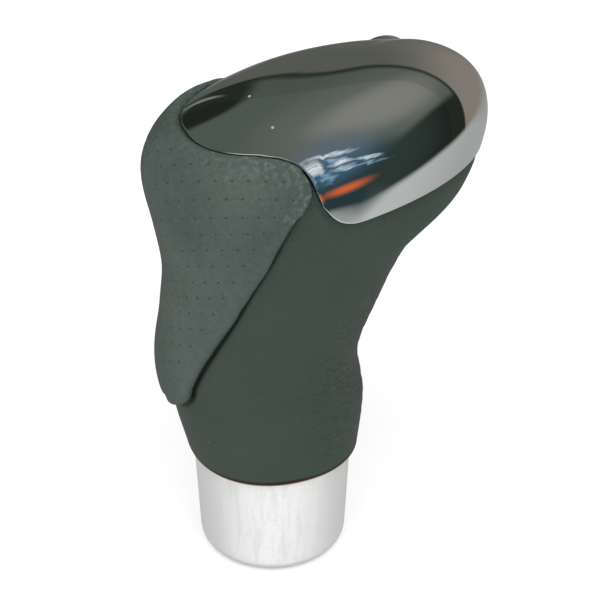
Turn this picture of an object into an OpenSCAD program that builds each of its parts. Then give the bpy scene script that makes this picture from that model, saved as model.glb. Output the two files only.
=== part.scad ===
// Gear shift knob: padded leather grip, bright cap, turned collar and a side release button
// that drives a plunger down the lever. Origin at the centre of the collar's foot, +Z up,
// +X towards the nose of the grip, +Y towards the release button.

/* [Collar] */
// Height of the tapered collar
collar_h = 24; // [20:0.5:30]
// Wall of the collar outside its thread, at the top
collar_wall = 4.2; // [3.4:0.1:6]
// How much narrower the collar is just above its rounded foot
collar_taper = 1; // [0.4:0.1:1.4]
// Radius of the rounded edge at the foot
collar_edge_r = 2.8; // [1:0.1:3]
// Thickness of the inward lip at the foot
collar_lip_h = 2.2; // [1.5:0.1:3]

/* [Grip form] */
// Gap between the collar and the leather hem
hem_gap = 0.5; // [0.3:0.1:1]
// How far the leather hem stands out beyond the collar
hem_overhang = 1.1; // [0.8:0.1:2]
// Stalk: rear reach, front reach, half width, height at the rear, height at the front
stalk = [19.8, 18.4, 18.3, 10.5, 12]; // [10:0.1:80]
// Palm swell: the same five measures, all heights counted from the hem
swell = [21.5, 17, 19.1, 21.5, 24.5]; // [10:0.1:80]
// Waist: the same five measures
waist = [19.9, 20.8, 20, 32.5, 36]; // [10:0.1:80]
// Throat: the same five measures
throat = [19, 28.8, 20.4, 42.5, 49.5]; // [10:0.1:80]
// Jaw: the same five measures
jaw = [20.6, 40.5, 19.9, 53.5, 57]; // [10:0.1:80]
// Girth of the head: the same five measures
girth = [22.6, 44.3, 19, 63.5, 71]; // [10:0.1:80]
// Height of the crown above the girth
crown_h = 16; // [13:0.5:20]
// Squareness of the crown, 2 is an ellipse
crown_square = 2.35; // [2:0.05:2.6]
// Squareness of the sections, 2 is an ellipse
section_square = 2.15; // [2:0.05:2.4]
// Forward shift of the crown's summit, as a share of the half length
summit_shift = 0.2; // [0:0.05:0.3]
// Forward shift of the widest place of the head, as a share of the half length
widest_shift = 0.25; // [0:0.05:0.3]
// Narrowing of the head towards the nose
nose_taper = 0.42; // [0.2:0.02:0.5]

/* [Covering] */
// Thickness of the leather sleeve
leather_t = 1.35; // [1:0.05:1.6]
// Height of the padded panel above the leather
panel_h = 2; // [1.6:0.1:2.4]
// Thickness of the panel's leather over its foam
panel_skin_t = 0.9; // [0.8:0.05:1.1]
// Width of the panel's turned edge around the foam
panel_rim_w = 2.4; // [1.6:0.1:3]
// Half angle that the panel's rounded foot wraps
foot_wrap = 29; // [22:1:32]
// Half angle that the panel wraps at the top of its diagonal edge
panel_wrap = 57; // [48:1:59]
// Further half angle that the panel's lobe reaches beside the cap
lobe_reach = 4.5; // [3:0.5:6]
// Angle between the lobe and the cap's rear edge
lobe_gap = 1.6; // [1.2:0.1:3]
// How far the bright cap stands out beyond the leather
cap_proud = 0.5; // [0.3:0.1:0.8]
// Gap between the cap's edge and what it meets
cap_seam = 0.2; // [0.15:0.05:0.4]

/* [Release button] */
// Radius of the release button
button_r = 6.5; // [5.5:0.1:7]
// How far the button stands out of the flank
button_out = 3.8; // [3.6:0.1:4.5]
// Depth of the dish round the button's crown
button_dish = 1.2; // [0.8:0.1:1.6]
// Radius of the button's rounded edge
button_edge = 0.8; // [0.5:0.1:1.2]
// Travel of the button and of the plunger
travel = 4; // [2.5:0.1:4]
// Angle of the button's place around the head, from the nose
button_angle = 69; // [66:1:71]
// Length of the button's guide bush
guide_length = 4.2; // [3.4:0.1:4.6]
// Wall of the button's guide bush
guide_wall = 0.85; // [0.7:0.05:1]
// Radius of the stem that carries the button
stem_r = 2.5; // [2:0.1:3]
// Radius of the dowel that locks the button to its stem
dowel_r = 0.8; // [0.6:0.05:1]

/* [Cam slide and plunger] */
// Height of the cam slide's bar
bar_h = 7; // [6:0.5:8]
// Width of the cam slide's bar
bar_w = 7; // [6:0.5:8]
// Half width of the ramp block
ramp_half = 5.5; // [5:0.1:6]
// Half width of the plunger's square head
head_half = 5; // [4.6:0.1:5.2]
// Radius of the plunger's rod
rod_r = 3; // [2.5:0.1:3.2]
// Radial running clearance of the rod and the button
running_gap = 0.05; // [0.02:0.01:0.08]
// Clearance of the slide in its channel
slide_gap = 0.4; // [0.35:0.05:0.5]
// Clearance between the ramp and the plunger's head
ramp_gap = 0.45; // [0.4:0.05:0.6]
// Radius of the plunger spring's coil
plunger_coil_r = 4.1; // [3.8:0.1:4.3]
// Wire thickness of the plunger spring
plunger_wire = 0.7; // [0.5:0.05:0.8]
// Radius of the button spring's coil
button_coil_r = 3; // [2.6:0.1:3.3]
// Depth of the pocket that holds the button spring
spring_pocket = 2.9; // [2:0.1:3.2]
// Wire thickness of the button spring
button_wire = 0.6; // [0.4:0.05:0.7]

/* [Lever socket] */
// Radius of the lever's bore
lever_r = 6.05; // [5:0.05:6.3]
// Wall of the adapter sleeve round the bore
adapter_wall = 1.95; // [1.6:0.05:2.4]
// Height of the adapter sleeve's top above the foot
adapter_top = 45.9; // [40:0.1:46]
// Wall of the hub between the adapter sleeve and the collar's thread
hub_wall = 4; // [3.4:0.1:4.6]
// How far the hub's flange stands out beyond the thread
flange_out = 2; // [1.6:0.1:2.4]
// How much smaller the hub's stem in the core is than the thread
stem_step = 1.5; // [1:0.1:2]
// Height of the hub's top above the foot
hub_top = 54; // [52:0.5:56]
// Radius of the grub screws
grub_r = 2; // [1.5:0.1:2.5]
// Height of the grub screws above the foot
grub_z = 10; // [7:0.5:13]

/* [Hidden] */
$fn = 48;

fit = 0.05;
adapter_r = lever_r + adapter_wall;
thread_r = adapter_r + hub_wall;
flange_r = thread_r + flange_out;
hub_r = thread_r - stem_step;
collar_top_r = thread_r + collar_wall;
collar_foot_r = collar_top_r - collar_taper;
hem_r = collar_top_r + hem_overhang;
hem_z = collar_h + hem_gap;

// Stations of the grip: rear x, rear z, front x, front z, half width, share of the head's shape
function station(m, share) = [-m[0], hem_z + m[3], m[1], hem_z + m[4], m[2], share];
STATIONS = [[-hem_r, hem_z, hem_r, hem_z, hem_r, 0], station(stalk, 0), station(swell, 0),
    station(waist, 0.1), station(throat, 0.35), station(jaw, 0.72), station(girth, 1)];
LAST = len(STATIONS) - 1;
CHORD = [STATIONS[LAST][2] - STATIONS[LAST][0], STATIONS[LAST][3] - STATIONS[LAST][1]];
RISE = [-CHORD[1], CHORD[0]] / norm(CHORD);
REAR_STEP = norm([for (k = [0, 1]) STATIONS[LAST][k] - STATIONS[LAST - 1][k]]);
FRONT_STEP = norm([for (k = [2, 3]) STATIONS[LAST][k] - STATIONS[LAST - 1][k]]);
function slope(i) = i == 0 ? STATIONS[1] - STATIONS[0]
    : i == LAST ? [RISE[0] * REAR_STEP, RISE[1] * REAR_STEP, RISE[0] * FRONT_STEP,
        RISE[1] * FRONT_STEP, 0, STATIONS[LAST][5] - STATIONS[LAST - 1][5]]
    : (STATIONS[i + 1] - STATIONS[i - 1]) / 2;
function blend(i, u) = (2 * u * u * u - 3 * u * u + 1) * STATIONS[i]
    + (u * u * u - 2 * u * u + u) * slope(i)
    + (3 * u * u - 2 * u * u * u) * STATIONS[i + 1]
    + (u * u * u - u * u) * slope(i + 1);
function section(t) = t >= LAST ? STATIONS[LAST] : blend(floor(t), t - floor(t));
function power(v, e) = sign(v) * pow(abs(v), e);

// Point of the leather's outside: t counts stations from the hem, then the crown; a is the angle
function grip_at(t, a) = let(
    s = section(t),
    phi = max(0, t - LAST) * 90,
    spread = pow(cos(phi), 2 / crown_square),
    lift = crown_h * pow(sin(phi), 2 / crown_square),
    c = power(cos(a), 2 / section_square),
    d = power(sin(a), 2 / section_square),
    u = (c + widest_shift * s[5] * (1 - c * c)) * spread + summit_shift * (1 - spread))
    [(s[0] + s[2]) / 2 + (s[2] - s[0]) / 2 * u + RISE[0] * lift,
     s[4] * d * spread * (1 - nose_taper * s[5] * c),
     (s[1] + s[3]) / 2 + (s[3] - s[1]) / 2 * u + RISE[1] * lift];
STEP = 0.01;
CROWN_TOP = LAST + 0.985;
function along_t(t, a) = grip_at(min(t + STEP, CROWN_TOP), a) - grip_at(max(t - STEP, 0), a);
function along_a(t, a) = grip_at(t, a + 1) - grip_at(t, a - 1);
function outward(t, a) = let(n = cross(along_a(t, a), along_t(t, a))) n / norm(n);
function skin_point(t, a, h) = grip_at(t, a) + h * outward(t, a);
function t_step(t, a, d) = d * (min(t + STEP, CROWN_TOP) - max(t - STEP, 0)) / norm(along_t(t, a));

// Edge of the bright cap: low skirt round the nose, rounded corner, high edge over the rear.
// Each pair is an angle from the nose and a level counted from the girth.
CAP_EDGE = [[103, -0.5], [106, -0.46], [109, -0.39], [112, -0.25], [115, -0.01], [118, 0.19],
    [121, 0.275], [124, 0.325], [130, 0.375], [139, 0.405], [180, 0.42]];
REAR_T = LAST + lookup(180, CAP_EDGE);
function cap_edge(a) = LAST + lookup(abs((a + 540) % 360 - 180), CAP_EDGE);

// Columns round the grip, closer where the cap's corner needs them
HALF_COLUMNS = [for (a = [0 : 9 : 99]) a, for (a = [103 : 3 : 124]) a, for (a = [130 : 9 : 175]) a];
COLUMNS = [for (a = HALF_COLUMNS) a, 180,
    for (i = [len(HALF_COLUMNS) - 1 : -1 : 1]) 360 - HALF_COLUMNS[i]];
function spaced(from, to, n) = [for (i = [0 : n]) from + (to - from) * i / n];

// Faces between two grids of rows and columns that share their edges
function grid_faces(rows, cols, base, wrap, flip) = [
    for (i = [0 : rows - 2]) for (j = [0 : wrap ? cols - 1 : cols - 2])
    let(k = (j + 1) % cols, p = base + i * cols + j, q = base + i * cols + k,
        r = p + cols, s = q + cols, mirrored = wrap == (j < cols / 2),
        pair = mirrored ? [[p, r, q], [q, r, s]] : [[p, r, s], [p, s, q]])
    each flip ? [for (f = pair) [f[0], f[2], f[1]]] : pair];
function edge_faces(path_a, path_b, wrap) = [
    for (j = [0 : wrap ? len(path_a) - 1 : len(path_a) - 2])
    let(k = (j + 1) % len(path_a))
    each [[path_a[j], path_a[k], path_b[k]], [path_a[j], path_b[k], path_b[j]]]];
function flat(list) = [for (row = list) each row];

// Closed solid between an outer and an inner grid
module shell(outer, inner, wrap) {
    rows = len(outer);
    cols = len(outer[0]);
    base = rows * cols;
    top = (rows - 1) * cols;
    low = [for (j = [0 : cols - 1]) j];
    high = [for (j = [0 : cols - 1]) top + j];
    left = [for (i = [0 : rows - 1]) i * cols];
    right = [for (i = [0 : rows - 1]) i * cols + cols - 1];
    function inner_of(path) = [for (k = path) k + base];
    polyhedron(concat(flat(outer), flat(inner)), concat(
        grid_faces(rows, cols, 0, wrap, false),
        grid_faces(rows, cols, base, wrap, true),
        edge_faces(low, inner_of(low), wrap),
        edge_faces(inner_of(high), high, wrap),
        wrap ? [] : edge_faces(inner_of(left), left, false),
        wrap ? [] : edge_faces(right, inner_of(right), false)));
}

// Solid under the whole grip, at an offset h
module grip_solid(h, levels) {
    cols = len(COLUMNS);
    rows = len(levels);
    body = [for (t = levels) for (a = COLUMNS) skin_point(t, a, h)];
    summit = grip_at(LAST + 1, 0) + h * [RISE[0], 0, RISE[1]];
    fan = [for (j = [0 : cols - 1])
        [(rows - 1) * cols + j, rows * cols, (rows - 1) * cols + (j + 1) % cols]];
    polyhedron(concat(body, [summit]), concat(grid_faces(rows, cols, 0, true, false),
        [for (j = [1 : cols - 2]) [0, j, j + 1]], fan));
}

CORE_LEVELS = concat(spaced(0, LAST, 16), spaced(LAST + 0.1, LAST + 0.97, 9));
glue_gap = 0.35;
core_h = -(leather_t + glue_gap);
core_z = collar_h + hem_gap + 0.7;

// Button, slide and plunger places
BUTTON_T = LAST + 0.04;
BUTTON_AT = grip_at(BUTTON_T, button_angle);
button_x = BUTTON_AT[0];
button_z = BUTTON_AT[2] + 0.2;
button_face = BUTTON_AT[1] + cap_proud + button_out;
bar_front = bar_w / 2;
button_back = bar_front + 1;
bar_back = bar_front - bar_w;
bar_low = button_z - bar_h / 2;
bar_high = button_z + bar_h / 2;
bar_end = button_x + 4;
channel_back = bar_back - travel - slide_gap - 0.2;
spring_wall = channel_back - spring_pocket;
ramp_back = -ramp_half;
ramp_front = 9;
ramp_line = bar_low + bar_back - 0.1;
ramp_low = ramp_line - ramp_half + 0.55;
head_line = ramp_line - ramp_gap;
head_low = head_line - 9;
bush_low = hub_top + 0.1;
bush_high = bush_low + 8.1;
bush_r = 5;
washer_t = 0.6;
clip_t = 0.8;
clip_z = bush_low - clip_t - 0.3;
split_gap = 0.1;
SCREWS = [[-8.5, 7.2], [-8.5, -7.2], [20, 9], [20.5, -12]];
screw_seat = button_z + 0.9;
POSTS = [[11, 10.5], [11, -13], [-10.9, 0]];
post_r = 2;
post_low = button_z + 0.5;

module tube(r_out, r_in, z_low, z_high) {
    rotate_extrude()
        polygon([[r_in, z_low], [r_out, z_low], [r_out, z_high], [r_in, z_high]]);
}

module along_y(y_low, y_high, r) {
    translate([button_x, y_low, button_z]) rotate([-90, 0, 0]) cylinder(h = y_high - y_low, r = r);
}

module box(low, high) {
    translate(low) cube(high - low);
}

module collar() color("whitesmoke") {
    lip_r = adapter_r + 2.9;
    lip_chamfer = 0.4;
    bore_r = thread_r + fit;
    recess_r = flange_r + fit * 2;
    recess_z = collar_h - 4.1;
    taper = atan2(collar_top_r - collar_foot_r, collar_h - collar_edge_r);
    rotate_extrude($fn = 96) polygon(concat(
        [[lip_r, lip_chamfer], [lip_r + lip_chamfer, 0]],
        [for (i = [0 : 8]) let(q = -90 + i * (90 - taper) / 8)
            [collar_foot_r - collar_edge_r + collar_edge_r * cos(q),
             collar_edge_r + collar_edge_r * sin(q)]],
        [[collar_top_r, collar_h - 0.4], [collar_top_r - 0.4, collar_h], [recess_r, collar_h],
         [recess_r, recess_z], [bore_r, recess_z], [bore_r, collar_lip_h],
         [lip_r, collar_lip_h]]));
}

module hem_ring() color("black") {
    tube(collar_top_r - 0.5, flange_r + fit * 2, collar_h + fit, core_z - fit);
}

module collar_o_ring() color("dimgray") {
    groove_r = thread_r - 1;
    z_mid = collar_h - 7;
    rotate_extrude() translate([groove_r + fit + 0.45, z_mid]) circle(r = 0.45, $fn = 24);
}

module hub_insert() color("silver") {
    low = collar_lip_h + 0.2;
    flange_low = collar_h - 4;
    groove_z = collar_h - 7;
    chamber_r = 5.6;
    difference() {
        rotate_extrude() polygon([[adapter_r + fit, low], [thread_r - 0.5, low],
            [thread_r, low + 0.5], [thread_r, groove_z - 0.9], [thread_r - 1, groove_z - 0.9],
            [thread_r - 1, groove_z + 0.9], [thread_r, groove_z + 0.9], [thread_r, flange_low],
            [flange_r, flange_low], [flange_r, core_z - fit], [hub_r, core_z - fit],
            [hub_r, hub_top - 0.6], [hub_r - 0.6, hub_top], [chamber_r, hub_top],
            [chamber_r, adapter_top + fit], [adapter_r + fit, adapter_top + fit]]);
        for (a = [0 : 120 : 240])
            rotate([0, 0, a]) translate([adapter_r - 1, 0, grub_z]) rotate([0, 90, 0])
                cylinder(h = thread_r, r = grub_r + fit);
    }
}

module adapter_sleeve() color("ivory") {
    lip_r = lever_r - 1.45;
    lip_h = 2;
    rotate_extrude() polygon([[lever_r, 0], [adapter_r, 0], [adapter_r, adapter_top],
        [lip_r, adapter_top], [lip_r, adapter_top - lip_h], [lever_r, adapter_top - lip_h]]);
}

module grub_screws() color("dimgray") {
    inner = adapter_r + fit * 2;
    length = thread_r - adapter_r - 0.3;
    for (a = [0 : 120 : 240])
        rotate([0, 0, a]) translate([inner, 0, grub_z]) rotate([0, 90, 0]) difference() {
            cylinder(h = length, r = grub_r);
            translate([0, 0, length - 1.4]) cylinder(h = 2, r = grub_r * 0.55, $fn = 6);
        }
}

// Everything that is hollowed out of the core and the head insert for the mechanism
module mechanism_space() {
    box([-ramp_half - slide_gap, channel_back, bar_low - slide_gap],
        [bar_end + slide_gap, bar_front + slide_gap, bar_high + slide_gap]);
    box([-ramp_half - slide_gap, ramp_back - travel - slide_gap - 0.2, ramp_low - slide_gap],
        [ramp_half + slide_gap, ramp_front + slide_gap, bar_high + slide_gap]);
    box([-head_half - slide_gap, -head_half - slide_gap, head_low - travel - slide_gap],
        [head_half + slide_gap, head_half + slide_gap, ramp_low]);
    along_y(spring_wall, channel_back + 1, 4);
    along_y(bar_front - travel, button_face + 5, button_r + guide_wall + fit);
}

module grip_core() color("darkslategray") {
    difference() {
        grip_solid(core_h, CORE_LEVELS);
        box([-60, -60, button_z - split_gap / 2], [60, 60, button_z + 60]);
        box([-60, -60, -1], [60, 60, core_z]);
        translate([0, 0, core_z - 1]) cylinder(h = bush_low - core_z + 1, r = hub_r + fit);
        translate([0, 0, bush_low - 1]) cylinder(h = 2.6, r = bush_r + 1.5 + fit);
        translate([0, 0, bush_low]) cylinder(h = head_low - bush_low - travel, r = bush_r + fit * 4);
        mechanism_space();
        for (p = SCREWS)
            translate([p[0], p[1], screw_seat - 12]) cylinder(h = 20, r = 1.3, $fn = 24);
    }
}

function sleeve_level(a, s) = s * (cap_edge(a) - t_step(cap_edge(a), a, cap_seam));

module leather_sleeve() color([0.2, 0.23, 0.21]) {
    shares = concat(spaced(0, LAST / REAR_T, 13), spaced(0.955, 1, 3));
    outer = [for (s = shares) [for (a = COLUMNS) skin_point(sleeve_level(a, s), a, 0)]];
    inner = [for (s = shares) [for (a = COLUMNS) skin_point(sleeve_level(a, s), a, -leather_t)]];
    shell(outer, inner, true);
}

// Half angle of the padded panel at level t: rounded foot, long diagonal edge, lobe by the cap
PANEL_FOOT = 1.55;
PANEL_TOP = REAR_T - 0.012;
FOOT_END = 2.1;
DIAGONAL_END = LAST;
LOBE_RISE = 0.08;
function share(t, from, to) = max(0, min(1, (t - from) / (to - from)));
function cap_corner(t) = lookup(t - LAST, [for (p = CAP_EDGE) [p[1], p[0]]]);
function panel_half(t) = min(180 - cap_corner(t) - lobe_gap,
    foot_wrap * sqrt(share(t, PANEL_FOOT, FOOT_END))
    + (panel_wrap - foot_wrap) * share(t, FOOT_END, DIAGONAL_END)
    + lobe_reach * sqrt(share(t, DIAGONAL_END, DIAGONAL_END + LOBE_RISE)));

// Patch of the panel: inset d from its outline, from height low to the heights of profile
module panel_patch(d, low, high, edge_drop, across, upward) {
    us = [for (i = [0 : across]) i / across - 0.5 - cos(180 * i / across) / 2];
    vs = [for (i = [0 : upward]) (1 - cos(180 * i / upward)) / 2];
    t0 = PANEL_FOOT + t_step(2, 180, d + 0.3);
    t1 = PANEL_TOP - t_step(PANEL_TOP, 180, d);
    function half(t) = let(r = norm([grip_at(t, 180)[0], 0]))
        max(1, panel_half(t) - d / max(r, 12) * 57.3);
    function edge(u, v) = min(1 - abs(u), min(v, 1 - v) * 2);
    function drop(u, v) = edge(u, v) < 0.001 ? edge_drop : edge(u, v) < 0.08 ? edge_drop / 4 : 0;
    function place(u, v, h) = let(t = t0 + (t1 - t0) * v) skin_point(t, 180 + u * half(t), h);
    outer = [for (v = vs) [for (u = us) place(u, v, high - drop(u, v))]];
    inner = [for (v = vs) [for (u = us) place(u, v, low)]];
    shell(outer, inner, false);
}

module panel_foam() color("gray") {
    panel_patch(panel_rim_w + fit * 3, glue_gap + fit * 3, panel_h - panel_skin_t - fit, 0.2, 10, 14);
}

module perforated_panel() color([0.33, 0.38, 0.35]) {
    difference() {
        panel_patch(0, glue_gap + fit, panel_h, 0.9, 16, 24);
        panel_patch(panel_rim_w, -1, panel_h - panel_skin_t, 0, 10, 14);
    }
}

module head_insert() color("slategray") {
    difference() {
        grip_solid(core_h, CORE_LEVELS);
        box([-60, -60, -1], [60, 60, button_z + split_gap / 2]);
        mechanism_space();
        for (p = SCREWS) translate([p[0], p[1], button_z - 1]) {
            cylinder(h = 20, r = 1.4, $fn = 24);
            translate([0, 0, screw_seat - button_z + 1]) cylinder(h = 20, r = 2.6);
        }
        for (p = POSTS) translate([p[0], p[1], button_z - 1]) {
            cylinder(h = 20, r = post_r + fit * 2);
            cylinder(h = 2.6, r = 4.2);
        }
    }
}

module head_screws() color("lightgray") {
    for (p = SCREWS) translate([p[0], p[1], screw_seat + fit]) difference() {
        union() {
            cylinder(h = 1.7, r = 2.4);
            translate([0, 0, -11]) cylinder(h = 11.5, r = 1.25, $fn = 24);
        }
        translate([0, 0, 0.7]) cylinder(h = 2, r = 1, $fn = 6);
    }
}

function cap_level(a, s) = cap_edge(a) + (CROWN_TOP - cap_edge(a)) * s;

module chrome_cap() color("gainsboro") {
    shares = concat(spaced(0, 0.9, 9), [0.97]);
    inner_h = -leather_t;
    outer = [for (s = shares) [for (a = COLUMNS) skin_point(cap_level(a, s), a, cap_proud)]];
    inner = [for (s = shares) [for (a = COLUMNS) skin_point(cap_level(a, s), a, inner_h)]];
    cols = len(COLUMNS);
    base = len(shares) * cols;
    up = [RISE[0], 0, RISE[1]];
    summit = grip_at(LAST + 1, 0);
    high = base - cols;
    difference() {
        union() {
            polyhedron(concat(flat(outer), flat(inner), [summit + cap_proud * up, summit + inner_h * up]),
                concat(grid_faces(len(shares), cols, 0, true, false),
                    grid_faces(len(shares), cols, base, true, true),
                    edge_faces([for (j = [0 : cols - 1]) j], [for (j = [0 : cols - 1]) base + j], true),
                    [for (j = [0 : cols - 1]) [high + j, 2 * base, high + (j + 1) % cols]],
                    [for (j = [0 : cols - 1])
                        [base + high + j, base + high + (j + 1) % cols, 2 * base + 1]]));
            intersection() {
                for (p = POSTS) translate([p[0], p[1], post_low]) cylinder(h = 20, r = post_r);
                grip_solid(-0.6, CORE_LEVELS);
            }
        }
        along_y(0, button_face + 5, button_r + 0.4);
    }
}

module cap_push_nuts() color("silver") {
    for (p = POSTS) translate([p[0], p[1], post_low + 0.4]) difference() {
        cylinder(h = 0.6, r = 3.9);
        translate([0, 0, -1]) cylinder(h = 3, r = post_r + fit);
    }
}

module release_button() color("gainsboro") {
    length = button_face - button_back;
    crown_r = button_r - button_edge;
    difference() {
        translate([button_x, button_back, button_z]) rotate([-90, 0, 0]) rotate_extrude()
            polygon(concat([[0, 0], [button_r, 0], [button_r, length - button_dish - button_edge]],
                [for (i = [1 : 6]) let(q = i * 15)
                    [crown_r + button_edge * cos(q),
                     length - button_dish - button_edge + button_edge * sin(q)]],
                [for (i = [1 : 6]) let(r = crown_r * (1 - i / 6))
                    [r, length - button_dish * pow(r / crown_r, 2)]]));
        along_y(button_back - 1, button_back + 6.5, stem_r + fit);
        translate([button_x, button_back + 3, button_z - 5]) cylinder(h = 10, r = dowel_r + 0.02);
    }
}

module button_guide() color("black") {
    translate([button_x, bar_front + slide_gap, button_z]) rotate([-90, 0, 0])
        tube(button_r + guide_wall, button_r + running_gap, 0, guide_length);
}

module button_dowel() color("silver") {
    translate([button_x, button_back + 3, button_z - 4.8]) cylinder(h = 9.6, r = dowel_r);
}

module coil(r, wire, length, turns) {
    sides = 5;
    per_turn = 12;
    steps = per_turn * turns;
    pitch = (length - wire) / turns;
    rings = [for (i = [0 : steps]) let(a = 360 * i / per_turn, z = wire / 2 + pitch * i / per_turn)
        for (k = [0 : sides - 1]) let(b = 360 * k / sides, q = r + wire / 2 * cos(b))
            [q * cos(a), q * sin(a), z + wire / 2 * sin(b)]];
    last = steps * sides;
    polyhedron(rings, concat(
        [for (i = [0 : steps - 1]) for (k = [0 : sides - 1])
            let(n = (k + 1) % sides, p = i * sides)
            each [[p + k, p + n, p + sides + n], [p + k, p + sides + n, p + sides + k]]],
        [[for (k = [sides - 1 : -1 : 0]) k]], [[for (k = [0 : sides - 1]) last + k]]));
}

module button_spring() color("silver") {
    translate([button_x, spring_wall + fit * 2, button_z]) rotate([-90, 0, 0])
        coil(button_coil_r, button_wire, bar_back - spring_wall - fit * 4, 4);
}

module cam_slide() color("ivory") {
    difference() {
        union() {
            box([-ramp_half, bar_back, bar_low], [bar_end, bar_front, bar_high]);
            translate([ramp_half, 0, 0]) rotate([0, -90, 0]) linear_extrude(height = 2 * ramp_half)
                polygon([[bar_high, ramp_back], [ramp_line - ramp_back, ramp_back],
                    [ramp_low, ramp_line - ramp_low], [ramp_low, ramp_front], [bar_high, ramp_front]]);
            along_y(bar_front - 0.5, button_back + 6.3, stem_r);
        }
        translate([button_x, button_back + 3, button_z - 5]) cylinder(h = 10, r = dowel_r + 0.02);
    }
}

module plunger() color("ivory") {
    rod_low = adapter_top - 0.4;
    groove = 0.6;
    union() {
        rotate_extrude() polygon([[0, rod_low], [rod_r - 0.5, rod_low], [rod_r, rod_low + 0.5],
            [rod_r, clip_z - 0.05], [rod_r - groove, clip_z - 0.05],
            [rod_r - groove, clip_z + clip_t + 0.05], [rod_r, clip_z + clip_t + 0.05],
            [rod_r, head_low + 0.5], [0, head_low + 0.5]]);
        translate([head_half, 0, 0]) rotate([0, -90, 0]) linear_extrude(height = 2 * head_half)
            polygon([[head_low, -head_half], [head_line + head_half, -head_half],
                [head_line - head_half, head_half], [head_low, head_half]]);
    }
}

module plunger_bush() color("goldenrod") {
    rotate_extrude() polygon([[rod_r + running_gap, bush_low], [bush_r + 1.5, bush_low],
        [bush_r + 1.5, bush_low + 1.5], [bush_r, bush_low + 1.5], [bush_r, bush_high],
        [rod_r + running_gap, bush_high]]);
}

module spring_washer() color("silver") {
    tube(bush_r, rod_r + 0.3, bush_high + fit, bush_high + fit + washer_t);
}

module plunger_spring() color("silver") {
    low = bush_high + washer_t + fit * 2;
    translate([0, 0, low]) coil(plunger_coil_r, plunger_wire, head_low - low - fit, 6);
}

module retaining_clip() color("dimgray") {
    translate([0, 0, clip_z]) difference() {
        cylinder(h = clip_t, r = rod_r + 1.8);
        translate([0, 0, -1]) cylinder(h = 3, r = rod_r - 0.55);
        box([0, -1.4, -1], [rod_r + 3, 1.4, 3]);
    }
}

collar();
hem_ring();
collar_o_ring();
hub_insert();
adapter_sleeve();
grub_screws();
grip_core();
leather_sleeve();
panel_foam();
perforated_panel();
head_insert();
head_screws();
chrome_cap();
cap_push_nuts();
release_button();
button_guide();
button_dowel();
button_spring();
cam_slide();
plunger();
plunger_bush();
spring_washer();
plunger_spring();
retaining_clip();
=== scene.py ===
"""Gear shift knob: leather grip, padded panel, bright cap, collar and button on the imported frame.

Millimetres are used while a shape is worked out, and every mesh is stored in metres.
+Z runs up the lever, +X towards the nose of the grip, +Y towards the release button.
"""
from __future__ import annotations

import logging
import math
from dataclasses import dataclass
from enum import Enum

import bmesh
import bpy
import numpy as np
from mathutils import Matrix, Vector, noise
from mathutils.kdtree import KDTree


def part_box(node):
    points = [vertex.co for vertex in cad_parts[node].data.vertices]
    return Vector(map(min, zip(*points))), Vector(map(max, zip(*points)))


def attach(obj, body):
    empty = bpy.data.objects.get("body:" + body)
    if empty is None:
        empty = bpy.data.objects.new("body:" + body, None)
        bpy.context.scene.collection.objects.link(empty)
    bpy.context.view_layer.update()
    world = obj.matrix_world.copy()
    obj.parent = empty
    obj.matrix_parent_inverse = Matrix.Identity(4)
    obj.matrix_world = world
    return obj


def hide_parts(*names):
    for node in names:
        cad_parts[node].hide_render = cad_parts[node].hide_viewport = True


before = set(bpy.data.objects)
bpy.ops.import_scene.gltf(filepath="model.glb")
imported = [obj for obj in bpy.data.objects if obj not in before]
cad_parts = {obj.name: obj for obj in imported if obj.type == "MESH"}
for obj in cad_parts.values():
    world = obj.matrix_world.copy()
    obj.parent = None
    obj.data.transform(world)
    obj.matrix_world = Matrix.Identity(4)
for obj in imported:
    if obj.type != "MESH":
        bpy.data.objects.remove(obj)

Array = np.ndarray
Colour = tuple[int, int, int]
Material = bpy.types.Material
Mesh = bmesh.types.BMesh
Node = bpy.types.Node
NodeTree = bpy.types.NodeTree
Piece = bpy.types.Object
Socket = bpy.types.NodeSocket

LOG = logging.getLogger("shift_knob")
MM = 0.001
WELD = 2e-6
IMAGE_WIDTH = 600
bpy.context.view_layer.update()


class Hide(Enum):
    """Kind of leather that a piece is cut from."""

    SMOOTH = "smooth"
    PERFORATED = "perforated"


def smooth_step(value: Array, low: float, high: float) -> Array:
    """Rise from 0 at low to 1 at high with flat ends.

    Args:
        value: What is compared.
        low: Where the rise starts.
        high: Where the rise ends.

    Returns:
        The share, from 0 to 1.
    """
    share = np.clip((value - low) / (high - low), 0.0, 1.0)
    return share * share * (3.0 - 2.0 * share)


def fold_angle(a: Array) -> Array:
    """Angle from the nose in degrees, the same on both sides."""
    return np.abs((np.asarray(a) + 540.0) % 360.0 - 180.0)


def signed_power(value: Array, exponent: float) -> Array:
    """Power of the size of a value that keeps its sign."""
    return np.sign(value) * np.abs(value) ** exponent


def ripple(points: Array, scale: tuple[float, float, float], seed: float) -> Array:
    """Smooth seeded noise at a set of points.

    Args:
        points: Points in millimetres.
        scale: Waves per millimetre along each axis.
        seed: Shift that makes one pattern differ from another.

    Returns:
        Noise from about -1 to 1 for each point.
    """
    size = np.array(scale)
    return np.array([noise.noise(Vector(p * size + seed)) for p in points])


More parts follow.
